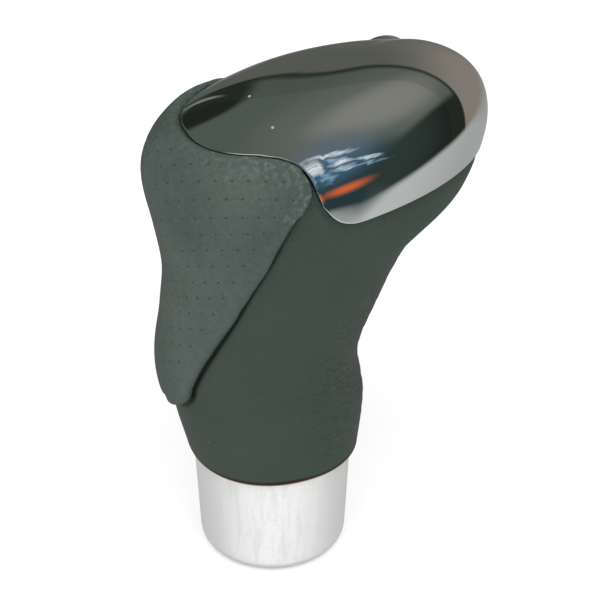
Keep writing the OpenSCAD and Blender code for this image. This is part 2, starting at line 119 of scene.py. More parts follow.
@dataclass(frozen=True)
class GripForm:
    """Outside of the leather as a loft of seven sections and a crown, in millimetres."""

    hem_z: float = 24.5
    hem_r: float = 17.3
    stalk: tuple[float, ...] = (19.8, 18.4, 18.3, 10.5, 12.0)
    swell: tuple[float, ...] = (21.5, 17.0, 19.1, 21.5, 24.5)
    waist: tuple[float, ...] = (19.9, 20.8, 20.0, 32.5, 36.0)
    throat: tuple[float, ...] = (19.0, 28.8, 20.4, 42.5, 49.5)
    jaw: tuple[float, ...] = (20.6, 40.5, 19.9, 53.5, 57.0)
    girth: tuple[float, ...] = (22.6, 44.3, 19.0, 63.5, 71.0)
    head_shares: tuple[float, ...] = (0.0, 0.0, 0.0, 0.1, 0.35, 0.72, 1.0)
    crown_h: float = 16.0
    crown_square: float = 2.35
    section_square: float = 2.15
    summit_shift: float = 0.2
    widest_shift: float = 0.25
    nose_taper: float = 0.42
    last: int = 6
    pole_stop: float = 0.992
    pole_fade: float = 0.96

    def stations(self) -> Array:
        """Sections as rows of rear x, rear z, front x, front z, half width and head share."""
        z, r = self.hem_z, self.hem_r
        rows = [[-r, z, r, z, r]]
        for rear, front, half, low, high in (
            self.stalk, self.swell, self.waist, self.throat, self.jaw, self.girth,
        ):
            rows.append([-rear, z + low, front, z + high, half])
        return np.column_stack([np.array(rows), self.head_shares])

    def rise(self) -> Array:
        """Unit direction, in X and Z, in which the crown rises from the girth."""
        top = self.stations()[self.last]
        chord = np.array([top[2] - top[0], top[3] - top[1]])
        return np.array([-chord[1], chord[0]]) / np.linalg.norm(chord)

    def slopes(self) -> Array:
        """Change of each section per station, for a smooth loft."""
        rows, rise = self.stations(), self.rise()
        out = np.zeros_like(rows)
        out[0] = rows[1] - rows[0]
        out[1:-1] = (rows[2:] - rows[:-2]) / 2.0
        for k in (0, 2):
            step = np.linalg.norm(rows[-1, k:k + 2] - rows[-2, k:k + 2])
            out[-1, k:k + 2] = rise * step
        out[-1, 5] = rows[-1, 5] - rows[-2, 5]
        return out

    def section(self, t: Array) -> Array:
        """Section at each t, which counts stations from the hem."""
        rows, slopes = self.stations(), self.slopes()
        i = np.clip(np.floor(t).astype(int), 0, self.last - 1)
        u = np.clip(t - i, 0.0, 1.0)[:, None]
        return (
            (2 * u ** 3 - 3 * u ** 2 + 1) * rows[i]
            + (u ** 3 - 2 * u ** 2 + u) * slopes[i]
            + (3 * u ** 2 - 2 * u ** 3) * rows[i + 1]
            + (u ** 3 - u ** 2) * slopes[i + 1]
        )

    def at(self, t: Array, a: Array) -> Array:
        """Points of the leather's outside.

        Args:
            t: Stations from the hem, and the crown from the last station to one more.
            a: Angles in degrees from the nose, with +Y at 90.

        Returns:
            One point in millimetres for each pair.
        """
        t, a = np.broadcast_arrays(np.asarray(t, float), np.asarray(a, float))
        s = self.section(np.minimum(t, self.last))
        phi = np.radians(np.clip(t - self.last, 0.0, 1.0) * 90.0)
        spread = np.cos(phi) ** (2.0 / self.crown_square)
        lift = self.crown_h * np.sin(phi) ** (2.0 / self.crown_square)
        c = signed_power(np.cos(np.radians(a)), 2.0 / self.section_square)
        d = signed_power(np.sin(np.radians(a)), 2.0 / self.section_square)
        u = (c + self.widest_shift * s[:, 5] * (1 - c * c)) * spread
        u = u + self.summit_shift * (1 - spread)
        rise = self.rise()
        return np.column_stack([
            (s[:, 0] + s[:, 2]) / 2 + (s[:, 2] - s[:, 0]) / 2 * u + rise[0] * lift,
            s[:, 4] * d * spread * (1 - self.nose_taper * s[:, 5] * c),
            (s[:, 1] + s[:, 3]) / 2 + (s[:, 3] - s[:, 1]) / 2 * u + rise[1] * lift,
        ])

    def outward(self, t: Array, a: Array) -> Array:
        """Unit normals of the leather's outside at each t and a."""
        t, a = np.broadcast_arrays(np.asarray(t, float), np.asarray(a, float))
        top, step, degrees = self.last + self.pole_stop, 0.006, 0.5
        level = np.minimum(t, top)
        around = self.at(level, a + degrees) - self.at(level, a - degrees)
        along = self.at(np.minimum(t + step, top), a) - self.at(np.maximum(level - step, 0.0), a)
        n = np.cross(around, along)
        n /= np.maximum(np.linalg.norm(n, axis=1), 1e-9)[:, None]
        rise = self.rise()
        pole = smooth_step(t, self.last + self.pole_fade, self.last + 1.0)[:, None]
        n = n * (1 - pole) + np.array([rise[0], 0.0, rise[1]]) * pole
        return n / np.linalg.norm(n, axis=1)[:, None]

    def skin(self, t: Array, a: Array, h: Array) -> Array:
        """Points at height h over the leather's outside."""
        t, a, h = np.broadcast_arrays(
            np.asarray(t, float), np.asarray(a, float), np.asarray(h, float))
        return self.at(t, a) + h[:, None] * self.outward(t, a)

    def t_per_mm(self, t: float, a: float) -> float:
        """How much t grows over one millimetre along the leather."""
        step = 0.01
        low, high = self.at(np.array([t - step]), a), self.at(np.array([t + step]), a)
        return 2.0 * step / float(np.linalg.norm(high - low))


@dataclass(frozen=True)
class CapEdge:
    """Lower edge of the bright cap: a low skirt round the nose, a corner, a high rear edge."""

    angles: tuple[float, ...] = (
        103.0, 106.0, 109.0, 112.0, 115.0, 118.0, 121.0, 124.0, 130.0, 139.0, 180.0)
    levels: tuple[float, ...] = (
        5.5, 5.54, 5.61, 5.75, 5.99, 6.19, 6.275, 6.325, 6.375, 6.405, 6.42)
    easing: float = 1.1

    def course(self) -> tuple[Array, Array]:
        """Fine course of the edge with its corners eased: angles from the nose, and levels."""
        step, reach = 0.25, 16
        fine = np.arange(0.0, 180.0 + step / 2, step)
        raw = np.interp(fine, self.angles, self.levels)
        weights = np.exp(-0.5 * (np.arange(-reach, reach + 1) * step / self.easing) ** 2)
        wide = np.concatenate([raw[reach:0:-1], raw, raw[-2:-reach - 2:-1]])
        return fine, np.convolve(wide, weights / weights.sum(), "valid")

    def at(self, a: Array) -> Array:
        """Level t of the edge at each angle."""
        return np.interp(fold_angle(a), *self.course())

    def corner(self, t: Array) -> Array:
        """Angle from the nose at which the edge passes each level."""
        angles, levels = self.course()
        rising = angles >= self.angles[0]
        return np.interp(t, levels[rising], angles[rising])


GRIP = GripForm()
CAP_EDGE = CapEdge()


def edge_t_per_mm(edge: Array) -> Array:
    """How much t grows over one millimetre at each level of the cap's edge."""
    levels, flank = (5.5, 5.8, 6.1, 6.42), 110.0
    return np.interp(edge, levels, [GRIP.t_per_mm(level, flank) for level in levels])


def run_length(points: Array, axis: int) -> Array:
    """Distance run over a grid of points along one of its directions, from its first line."""
    steps = np.linalg.norm(np.diff(points, axis=axis), axis=2)
    return np.insert(np.cumsum(steps, axis=axis), 0, 0.0, axis=axis)


def grid_mesh(columns: int, rows: int) -> tuple[Mesh, Array, Array]:
    """Plane of columns by rows faces, to be bent into a wall.

    Args:
        columns: Faces along the first direction.
        rows: Faces along the second direction.

    Returns:
        The bmesh, and the column and the row of each vertex.
    """
    mesh = bmesh.new()
    bmesh.ops.create_grid(mesh, x_segments=columns, y_segments=rows, size=0.5)
    mesh.verts.ensure_lookup_table()
    places = np.array([[v.co.x + 0.5, v.co.y + 0.5] for v in mesh.verts])
    column, row = np.rint(places * (columns, rows)).astype(int).T
    return mesh, column, row


def place_vertices(mesh: Mesh, points: Array) -> None:
    """Move every vertex to its point, given in millimetres."""
    for vertex, point in zip(mesh.verts, points):
        vertex.co = Vector(point) * MM


def weld(mesh: Mesh) -> None:
    """Merge what meets, drop faces without area and point all faces outwards."""
    bmesh.ops.remove_doubles(mesh, verts=mesh.verts[:], dist=WELD)
    bmesh.ops.dissolve_degenerate(mesh, edges=mesh.edges[:], dist=WELD / 4)
    bmesh.ops.recalc_face_normals(mesh, faces=mesh.faces[:])


def store_attribute(mesh: Mesh, name: str, values: Array) -> None:
    """Keep one number per vertex under a name that a material reads."""
    layer = mesh.verts.layers.float.new(name)
    for vertex, value in zip(mesh.verts, values):
        vertex[layer] = float(value)


def new_object(name: str, data: bpy.types.ID) -> Piece:
    """Put an object with the given data in the scene."""
    made = bpy.data.objects.new(name, data)
    bpy.context.scene.collection.objects.link(made)
    return made


def make_piece(mesh: Mesh, name: str, body: str, material: Material,
               stands_for: tuple[str, ...], sharp_degrees: float | None = None) -> Piece:
    """Turn a bmesh into a finished piece on its body.

    Args:
        mesh: The finished shape in metres. It is freed here.
        name: Name of the piece.
        body: Moving body that carries it.
        material: Finish of the whole piece.
        stands_for: Solids that it replaces.
        sharp_degrees: Angle from which an edge stays sharp, or None for a fully smooth piece.

    Returns:
        The piece's object.
    """
    data = bpy.data.meshes.new(name)
    mesh.to_mesh(data)
    mesh.free()
    data.polygons.foreach_set("use_smooth", [True] * len(data.polygons))
    if sharp_degrees is not None:
        data.set_sharp_from_angle(angle=math.radians(sharp_degrees))
    data.materials.append(material)
    piece = new_object(name, data)
    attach(piece, body)
    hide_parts(*stands_for)
    LOG.info("%s: %d faces on %s", name, len(data.polygons), body)
    return piece


def spun_solid(profile: list[tuple[float, float]], steps: int) -> Mesh:
    """Solid of revolution about Z, from a profile whose last corner joins its first.

    Args:
        profile: Radius and height of each corner, in millimetres.
        steps: Faces round the full turn.

    Returns:
        The bmesh in metres.
    """
    mesh = bmesh.new()
    corners = [mesh.verts.new((r * MM, 0.0, z * MM)) for r, z in profile]
    edges = [mesh.edges.new(pair) for pair in zip(corners, corners[1:] + corners[:1])]
    bmesh.ops.spin(
        mesh, geom=corners + edges, cent=(0, 0, 0), axis=(0, 0, 1), angle=2 * math.pi,
        steps=steps, use_merge=True)
    weld(mesh)
    return mesh


def arc(centre: tuple[float, float], radius: float, start: float, end: float,
        steps: int) -> list[tuple[float, float]]:
    """Points on a round of a profile.

    Args:
        centre: Radius and height of the round's centre.
        radius: Radius of the round.
        start: First angle in degrees.
        end: Last angle in degrees.
        steps: Number of short edges.

    Returns:
        The points, both ends included.
    """
    angles = [math.radians(start + (end - start) * i / steps) for i in range(steps + 1)]
    return [(centre[0] + radius * math.cos(q), centre[1] + radius * math.sin(q)) for q in angles]


# Shader groups and finishes


class Tone(Enum):
    """Screen colours of small details in the finishes, among them painted shade and painted glints.
    """

    PORE = (26, 31, 28)
    # Painted shade where the leather turns away from the viewer.
    GRAZING_SHADE = (76, 68, 62)
    # Painted shade in the groove along the panel's lower edge.
    GROOVE_SHADE = (24, 30, 26)
    # Painted shadow in a narrow band along the hem.
    HEM_SHADOW = (44, 34, 27)
    RAW_EDGE = (182, 146, 118)
    DUST = (160, 165, 160)
    # Painted shade and painted highlight on the folds of the gathered leather.
    CREASE_SHADE = (36, 44, 39)
    CREASE_HIGHLIGHT = (98, 106, 99)
    # Pale wear on the crumpled grain, partly painted glints.
    RUBBED_GLINT = (126, 134, 130)
    # Painted shade inside the perforations.
    HOLE_SHADE = (56, 68, 62)
    METAL_DUST = (190, 190, 185)


def srgb(red: int, green: int, blue: int) -> tuple[float, float, float, float]:
    """Linear colour of a screen colour."""
    def linear(value: int) -> float:
        share = value / 255.0
        return share / 12.92 if share <= 0.04045 else ((share + 0.055) / 1.055) ** 2.4
    return (linear(red), linear(green), linear(blue), 1.0)


def grey(value: float) -> tuple[float, float, float, float]:
    """Linear grey."""
    return (value, value, value, 1.0)


class NodeSheet:
    """Short way to lay nodes in one node tree."""

    def __init__(self, tree: NodeTree) -> None:
        """Keep the tree and start at its left."""
        self.tree = tree
        self.column = 0

    def feed(self, node: Node, inputs: dict) -> None:
        """Link a socket to each named or numbered input of a node, or write its value."""
        for key, value in inputs.items():
            if isinstance(value, Socket):
                self.tree.links.new(value, node.inputs[key])
            else:
                node.inputs[key].default_value = value

    def add(self, kind: str, inputs: dict | None = None, **settings: object) -> Node:
        """Add a node.

        Args:
            kind: Blender's name of the node type.
            inputs: Value or output socket for each named or numbered input.
            settings: Values of the node's own properties.

        Returns:
            The node.
        """
        node = self.tree.nodes.new(kind)
        node.location = (self.column * 190, -(self.column % 3) * 160)
        self.column += 1
        for key, value in settings.items():
            setattr(node, key, value)
        self.feed(node, inputs or {})
        return node

    def math(self, operation: str, first: object, second: object = 0.0,
             clamp: bool = False) -> Socket:
        """Result of a Math node on one or two values."""
        return self.add("ShaderNodeMath", {0: first, 1: second}, operation=operation,
                        use_clamp=clamp).outputs[0]

    def times(self, first: object, second: object) -> Socket:
        """Product of two values."""
        return self.math("MULTIPLY", first, second)

    def ramp(self, value: object, low: float, high: float, out_low: float = 0.0,
             out_high: float = 1.0) -> Socket:
        """Smooth rise of a value between two limits."""
        return self.add(
            "ShaderNodeMapRange", {"Value": value, 1: low, 2: high, 3: out_low, 4: out_high},
            interpolation_type="SMOOTHSTEP").outputs[0]

    def mix(self, share: object, first: object, second: object) -> Socket:
        """Colour between two colours."""
        return self.add("ShaderNodeMix", {0: share, 6: first, 7: second},
                        data_type="RGBA").outputs[2]

    def patch(self, point: Socket, centre: tuple[float, float], half: tuple[float, float],
              turn: float, soft: float) -> Socket:
        """Mask of a soft ellipse in a flat pattern.

        Args:
            point: Place in the pattern.
            centre: Middle of the ellipse.
            half: Its half width and half height.
            turn: Its turn in degrees.
            soft: Width of its soft border, as a share of its size.

        Returns:
            A mask that is 1 inside.
        """
        local = self.add(
            "ShaderNodeMapping",
            {"Vector": point, "Location": (*centre, 0.0),
             "Rotation": (0.0, 0.0, math.radians(turn)), "Scale": (*half, 1.0)},
            vector_type="TEXTURE")
        length = self.add("ShaderNodeVectorMath", {0: local.outputs[0]}, operation="LENGTH")
        return self.ramp(length.outputs["Value"], 1.0 - soft, 1.0 + soft, 1.0, 0.0)

    def object_point(self, scale: tuple[float, float, float] = (1, 1, 1)) -> Socket:
        """Object coordinates, scaled along each axis."""
        coords = self.add("ShaderNodeTexCoord")
        return self.add("ShaderNodeMapping", {"Vector": coords.outputs["Object"],
                                              "Scale": scale}).outputs[0]

    def noise(self, point: Socket, scale: object, detail: float = 3.0,
              roughness: float = 0.55) -> Socket:
        """Noise texture's value."""
        return self.add("ShaderNodeTexNoise", {"Vector": point, "Scale": scale, "Detail": detail,
                                               "Roughness": roughness}).outputs[0]

    def attribute(self, name: str) -> Socket:
        """Number that the mesh keeps for each vertex under a name."""
        return self.add("ShaderNodeAttribute", attribute_name=name).outputs["Fac"]

    def facing(self) -> Socket:
        """Share by which the surface turns away from the viewer."""
        return self.add("ShaderNodeLayerWeight", {"Blend": 0.5}).outputs["Facing"]

    def bump(self, height: Socket, strength: float, depth: float) -> Socket:
        """Normal of a fine relief with the given depth in metres."""
        return self.add("ShaderNodeBump", {"Height": height, "Strength": strength,
                                           "Distance": depth}).outputs[0]

    def group(self, tree: NodeTree, inputs: dict) -> tuple[Socket, ...]:
        """Outputs of a shader group that is placed with its own values."""
        return tuple(self.add("ShaderNodeGroup", inputs, node_tree=tree).outputs)


def open_group(name: str, inputs: dict[str, float], outputs: tuple[str, ...]
               ) -> tuple[NodeTree, NodeSheet, dict, Node]:
    """Start a shader group with number inputs and number outputs.

    Args:
        name: Name of the group.
        inputs: Default of each input.
        outputs: Names of the outputs.

    Returns:
        The group, its sheet, its input sockets and its output node.
    """
    tree = bpy.data.node_groups.new(name, "ShaderNodeTree")
    for label, default in inputs.items():
        socket = tree.interface.new_socket(label, in_out="INPUT", socket_type="NodeSocketFloat")
        socket.default_value = default
    for label in outputs:
        tree.interface.new_socket(label, in_out="OUTPUT", socket_type="NodeSocketFloat")
    sheet = NodeSheet(tree)
    entry = sheet.add("NodeGroupInput")
    end = sheet.add("NodeGroupOutput")
    return tree, sheet, {label: entry.outputs[label] for label in inputs}, end


class Effects:
    """Shader groups that several finishes share, each built once."""

    def __init__(self) -> None:
        """Build every group."""
        self.grain = self._grain()
        self.dust = self._dust()
        self.mottle = self._mottle()
        self.brushing = self._brushing()
        self.holes = self._holes()

    @staticmethod
    def _grain() -> NodeTree:
        """Pebbled leather: cells with creases between them, over fine pores."""
        tree, sheet, given, end = open_group(
            "leather_grain", {"Cell Scale": 1300.0, "Crease": 1.0, "Pores": 0.3}, ("Height",))
        point = sheet.object_point()
        warp = sheet.add("ShaderNodeTexNoise", {"Vector": point, "Scale": 700.0, "Detail": 2.0})
        bent = sheet.add("ShaderNodeVectorMath", {0: warp.outputs[1], 3: 0.0006},
                         operation="SCALE")
        moved = sheet.add("ShaderNodeVectorMath", {0: point, 1: bent.outputs[0]},
                          operation="ADD")
        cells = sheet.add("ShaderNodeTexVoronoi", {"Vector": moved.outputs[0],
                                                   "Scale": given["Cell Scale"]},
                          feature="DISTANCE_TO_EDGE")
        crease = sheet.times(sheet.ramp(cells.outputs[0], 0.0, 0.32), given["Crease"])
        pores = sheet.times(sheet.noise(point, 5200.0, 2.0, 0.7), given["Pores"])
        sheet.feed(end, {"Height": sheet.math("ADD", crease, pores)})
        return tree

    @staticmethod
    def _dust() -> NodeTree:
        """Sparse small specks of dust."""
        tree, sheet, given, end = open_group(
            "dust", {"Speck Scale": 260.0, "Share": 0.12}, ("Mask",))
        cells = sheet.add("ShaderNodeTexVoronoi", {"Vector": sheet.object_point(),
                                                   "Scale": given["Speck Scale"]})
        speck = sheet.ramp(cells.outputs["Distance"], 0.045, 0.075, 1.0, 0.0)
        tint = sheet.add("ShaderNodeSeparateColor", {0: cells.outputs["Color"]})
        chosen = sheet.math("LESS_THAN", tint.outputs[0], given["Share"])
        sheet.feed(end, {"Mask": sheet.times(speck, chosen)})
        return tree

    @staticmethod
    def _mottle() -> NodeTree:
        """Slow change of tone over a surface, with a finer one on it."""
        tree, sheet, given, end = open_group(
            "mottle", {"Broad Scale": 60.0, "Fine Scale": 900.0, "Fine Share": 0.35}, ("Tone",))
        point = sheet.object_point()
        mixed = sheet.add("ShaderNodeMix", {0: given["Fine Share"],
                                            2: sheet.noise(point, given["Broad Scale"], 3.0),
                                            3: sheet.noise(point, given["Fine Scale"], 2.0)},
                          data_type="FLOAT")
        sheet.feed(end, {"Tone": mixed.outputs[0]})
        return tree

    @staticmethod
    def _brushing() -> NodeTree:
        """Fine lines along Z, as drawn or brushed metal has, and short specks."""
        tree, sheet, given, end = open_group(
            "brushing", {"Line Scale": 900.0, "Speckle Scale": 2900.0}, ("Lines", "Speckle"))
        long, short = sheet.object_point((1.0, 1.0, 0.1)), sheet.object_point((1.0, 1.0, 0.6))
        sheet.feed(end, {"Lines": sheet.noise(long, given["Line Scale"], 4.0, 0.7),
                         "Speckle": sheet.noise(short, given["Speckle Scale"], 1.0, 0.5)})
        return tree

    @staticmethod
    def _holes() -> NodeTree:
        """Rows of round holes, from a piece's own places across and up the rows."""
        tree, sheet, given, end = open_group(
            "holes", {"hole_u": 0.0, "hole_v": 0.0, "hole_zone": 0.0, "Pitch": 2.8,
                      "Row Pitch": 3.7, "Radius": 0.28}, ("Hole",))
        squares = []
        for place, pitch in (("hole_u", "Pitch"), ("hole_v", "Row Pitch")):
            nearest = sheet.math("ROUND", given[place])
            off = sheet.times(sheet.math("SUBTRACT", given[place], nearest), given[pitch])
            squares.append(sheet.times(off, off))
        distance = sheet.math("SQRT", sheet.math("ADD", *squares))
        share = sheet.math("DIVIDE", distance, given["Radius"])
        sheet.feed(end, {"Hole": sheet.times(sheet.ramp(share, 0.55, 1.15, 1.0, 0.0),
                                             given["hole_zone"])})
        return tree


def blank_material(name: str) -> tuple[Material, NodeSheet, Node]:
    """New material with one Principled shader.

    Args:
        name: Name of the finish.

    Returns:
        The material, its sheet and the shader node.
    """
    material = bpy.data.materials.new(name)
    material.use_nodes = True
    material.node_tree.nodes.clear()
    sheet = NodeSheet(material.node_tree)
    shader = sheet.add("ShaderNodeBsdfPrincipled")
    sheet.add("ShaderNodeOutputMaterial", {0: shader.outputs[0]})
    return material, sheet, shader


@dataclass(frozen=True)
class LeatherFinish:
    """Dyed leather with grain, soft tone changes, dust and a raw edge, plus painted shade and
    highlights.
    """

    name: str
    hide: Hide
    colour: Colour
    light: Colour
    roughness: float = 0.52
    cell_scale: float = 1250.0
    grain_depth: float = 0.5

    def build(self, effects: Effects) -> Material:
        """Make the material.

        Args:
            effects: Shared shader groups.

        Returns:
            The material.
        """
        material, sheet, shader = blank_material(self.name)
        mottle, = sheet.group(effects.mottle, {"Broad Scale": 55.0, "Fine Scale": 800.0,
                                               "Fine Share": 0.3})
        dust, = sheet.group(effects.dust, {"Speck Scale": 230.0, "Share": 0.02})
        height, = sheet.group(effects.grain, {"Cell Scale": self.cell_scale, "Crease": 1.0,
                                              "Pores": 0.35})
        surface = sheet.mix(sheet.ramp(mottle, 0.32, 0.68), srgb(*self.colour),
                            srgb(*self.light))
        surface = sheet.mix(sheet.ramp(height, 0.15, 0.9, 0.1, 0.0), surface,
                            srgb(*Tone.PORE.value))
        if self.hide is Hide.PERFORATED:
            surface, height = self.perforate(sheet, effects, surface, height)
        else:
            surface, height = self.crease(sheet, surface, height)
        # Painted shade towards the silhouette, in the groove and along the hem, then the raw edge's
        # own colour and dust.
        layers = (
            (sheet.ramp(sheet.facing(), 0.6, 0.95, 0.0, 0.45), Tone.GRAZING_SHADE),
            (sheet.ramp(sheet.attribute("groove"), 0.1, 0.85, 0.0, 0.85), Tone.GROOVE_SHADE),
            (sheet.attribute("hem_shade"), Tone.HEM_SHADOW),
            (sheet.attribute("raw_edge"), Tone.RAW_EDGE),
            (sheet.times(dust, 0.55), Tone.DUST),
        )
        for share, tone in layers:
            surface = sheet.mix(share, surface, srgb(*tone.value))
        sheet.feed(shader, {
            "Base Color": surface,
            "Roughness": sheet.ramp(mottle, 0.3, 0.7, self.roughness - 0.05,
                                    self.roughness + 0.06),
            "Specular IOR Level": 0.3,
            "Normal": sheet.bump(height, self.grain_depth, 0.12 * MM)})
        return material

    @staticmethod
    def crease(sheet: NodeSheet, surface: Socket, height: Socket) -> tuple[Socket, Socket]:
        """Add the fine creases where the leather is gathered round the waist, with painted shade in
        their hollows and painted highlight on their ridges.

        Args:
            sheet: Sheet of the material.
            surface: Colour so far.
            height: Height so far.

        Returns:
            The new colour and the new height.
        """
        share = sheet.attribute("crease")
        leaned = sheet.add("ShaderNodeMapping", {"Vector": sheet.object_point(),
                                                 "Rotation": (0.3, math.radians(-28.0), 0.0),
                                                 "Scale": (640.0, 640.0, 2100.0)})
        folds = sheet.noise(leaned.outputs[0], 1.0, 2.0, 0.6)
        # Painted shade in the folds' hollows and painted highlight on their ridges.
        for strength, tone in ((sheet.ramp(folds, 0.37, 0.5, 0.6, 0.0), Tone.CREASE_SHADE),
                               (sheet.ramp(folds, 0.53, 0.67, 0.0, 0.3), Tone.CREASE_HIGHLIGHT)):
            surface = sheet.mix(sheet.times(share, strength), surface, srgb(*tone.value))
        return surface, sheet.math("ADD", height, sheet.times(sheet.times(folds, 6.5), share))

    @staticmethod
    def perforate(sheet: NodeSheet, effects: Effects, surface: Socket, height: Socket
                  ) -> tuple[Socket, Socket]:
        """Add the rows of fine holes with painted shade in them, and the crumpled grain beside the
        cap with wear and painted glints.

        Args:
            sheet: Sheet of the material.
            effects: Shared shader groups.
            surface: Colour so far.
            height: Height so far.

        Returns:
            The new colour and the new height.
        """
        hole, = sheet.group(effects.holes, {
            label: sheet.attribute(label) for label in ("hole_u", "hole_v", "hole_zone")})
        worn_glint = sheet.attribute("worn_glint")
        crumple = sheet.noise(sheet.object_point(), 950.0, 3.0, 0.65)
        # Pale specks on the crumpled wear: partly paler wear, partly painted glints.
        rubbed_glint = sheet.times(worn_glint, sheet.ramp(crumple, 0.45, 0.72, 0.0, 0.75))
        surface = sheet.mix(rubbed_glint, surface, srgb(*Tone.RUBBED_GLINT.value))
        # Painted shade in the holes.
        surface = sheet.mix(hole, surface, srgb(*Tone.HOLE_SHADE.value))
        sunk = sheet.math("SUBTRACT", height, sheet.times(hole, 2.5))
        return surface, sheet.math("ADD", sunk, sheet.times(sheet.times(crumple, 9.0), worn_glint))


@dataclass(frozen=True)
class MetalFinish:
    """Metal with its own tone, brushing and dust, and painted shade towards its edges where asked.
    """

    name: str
    colour: Colour
    roughness: float
    spread: float = 0.05
    lines: float = 0.0
    line_scale: float = 900.0
    dust_share: float = 0.0
    metallic: float = 1.0
    # Share of the base colour left where the surface turns away from the viewer: painted shade in
    # place of a sheen; 1 paints none.
    edge_shade: float = 1.0
    sparkle: float = 0.0

    def build(self, effects: Effects) -> Material:
        """Make the material.

        Args:
            effects: Shared shader groups.

        Returns:
            The material.
        """
        material, sheet, shader = blank_material(self.name)
        base = srgb(*self.colour)
        lines, speckle = sheet.group(effects.brushing, {"Line Scale": self.line_scale,
                                                        "Speckle Scale": 2900.0})
        mottle, = sheet.group(effects.mottle, {"Broad Scale": 90.0, "Fine Scale": 1500.0,
                                               "Fine Share": 0.2})
        dust, = sheet.group(effects.dust, {"Speck Scale": 210.0, "Share": self.dust_share})
        dark = (base[0] * 0.76, base[1] * 0.8, base[2] * 0.82, 1.0)
        tinted = sheet.mix(sheet.ramp(lines, 0.3, 0.58, self.lines, 0.0), base, dark)
        if self.sparkle > 0.0:
            tinted = sheet.mix(sheet.ramp(speckle, 0.3, 0.52, self.sparkle, 0.0), tinted, dark)
        # Painted shade: the colour darkens where the surface turns away from the viewer.
        if self.edge_shade < 1.0:
            rim = tuple(channel * self.edge_shade for channel in base[:3]) + (1.0,)
            tinted = sheet.mix(sheet.ramp(sheet.facing(), 0.08, 0.62), tinted, rim)
        rough = sheet.ramp(mottle, 0.3, 0.7, self.roughness, self.roughness + self.spread)
        sheet.feed(shader, {
            "Base Color": sheet.mix(dust, tinted, srgb(*Tone.METAL_DUST.value)),
            "Roughness": sheet.math("ADD", rough, sheet.times(dust, 0.5), clamp=True),
            "Metallic": sheet.math("SUBTRACT", self.metallic, sheet.times(dust, 0.8),
                                   clamp=True)})
        if self.lines > 0.0:
            sheet.feed(shader, {"Normal": sheet.bump(lines, self.lines, 0.05 * MM)})
        return material


@dataclass(frozen=True)
class PlasticFinish:
    """Moulded plastic, rubber or foam with a fine texture."""

    name: str
    colour: Colour
    roughness: float = 0.5
    texture: float = 0.2
    scale: float = 1800.0

    def build(self, effects: Effects) -> Material:
        """Make the material.

        Args:
            effects: Shared shader groups.

        Returns:
            The material.
        """
        material, sheet, shader = blank_material(self.name)
        mottle, = sheet.group(effects.mottle, {"Broad Scale": 120.0, "Fine Scale": self.scale,
                                               "Fine Share": 0.5})
        base = srgb(*self.colour)
        light = tuple(min(1.0, channel * 1.25 + 0.004) for channel in base[:3]) + (1.0,)
        sheet.feed(shader, {
            "Base Color": sheet.mix(sheet.ramp(mottle, 0.35, 0.65), base, light),
            "Roughness": sheet.ramp(mottle, 0.35, 0.65, self.roughness, self.roughness + 0.1),
            "Normal": sheet.bump(mottle, self.texture, 0.08 * MM)})
        return material


# Sub-assemblies


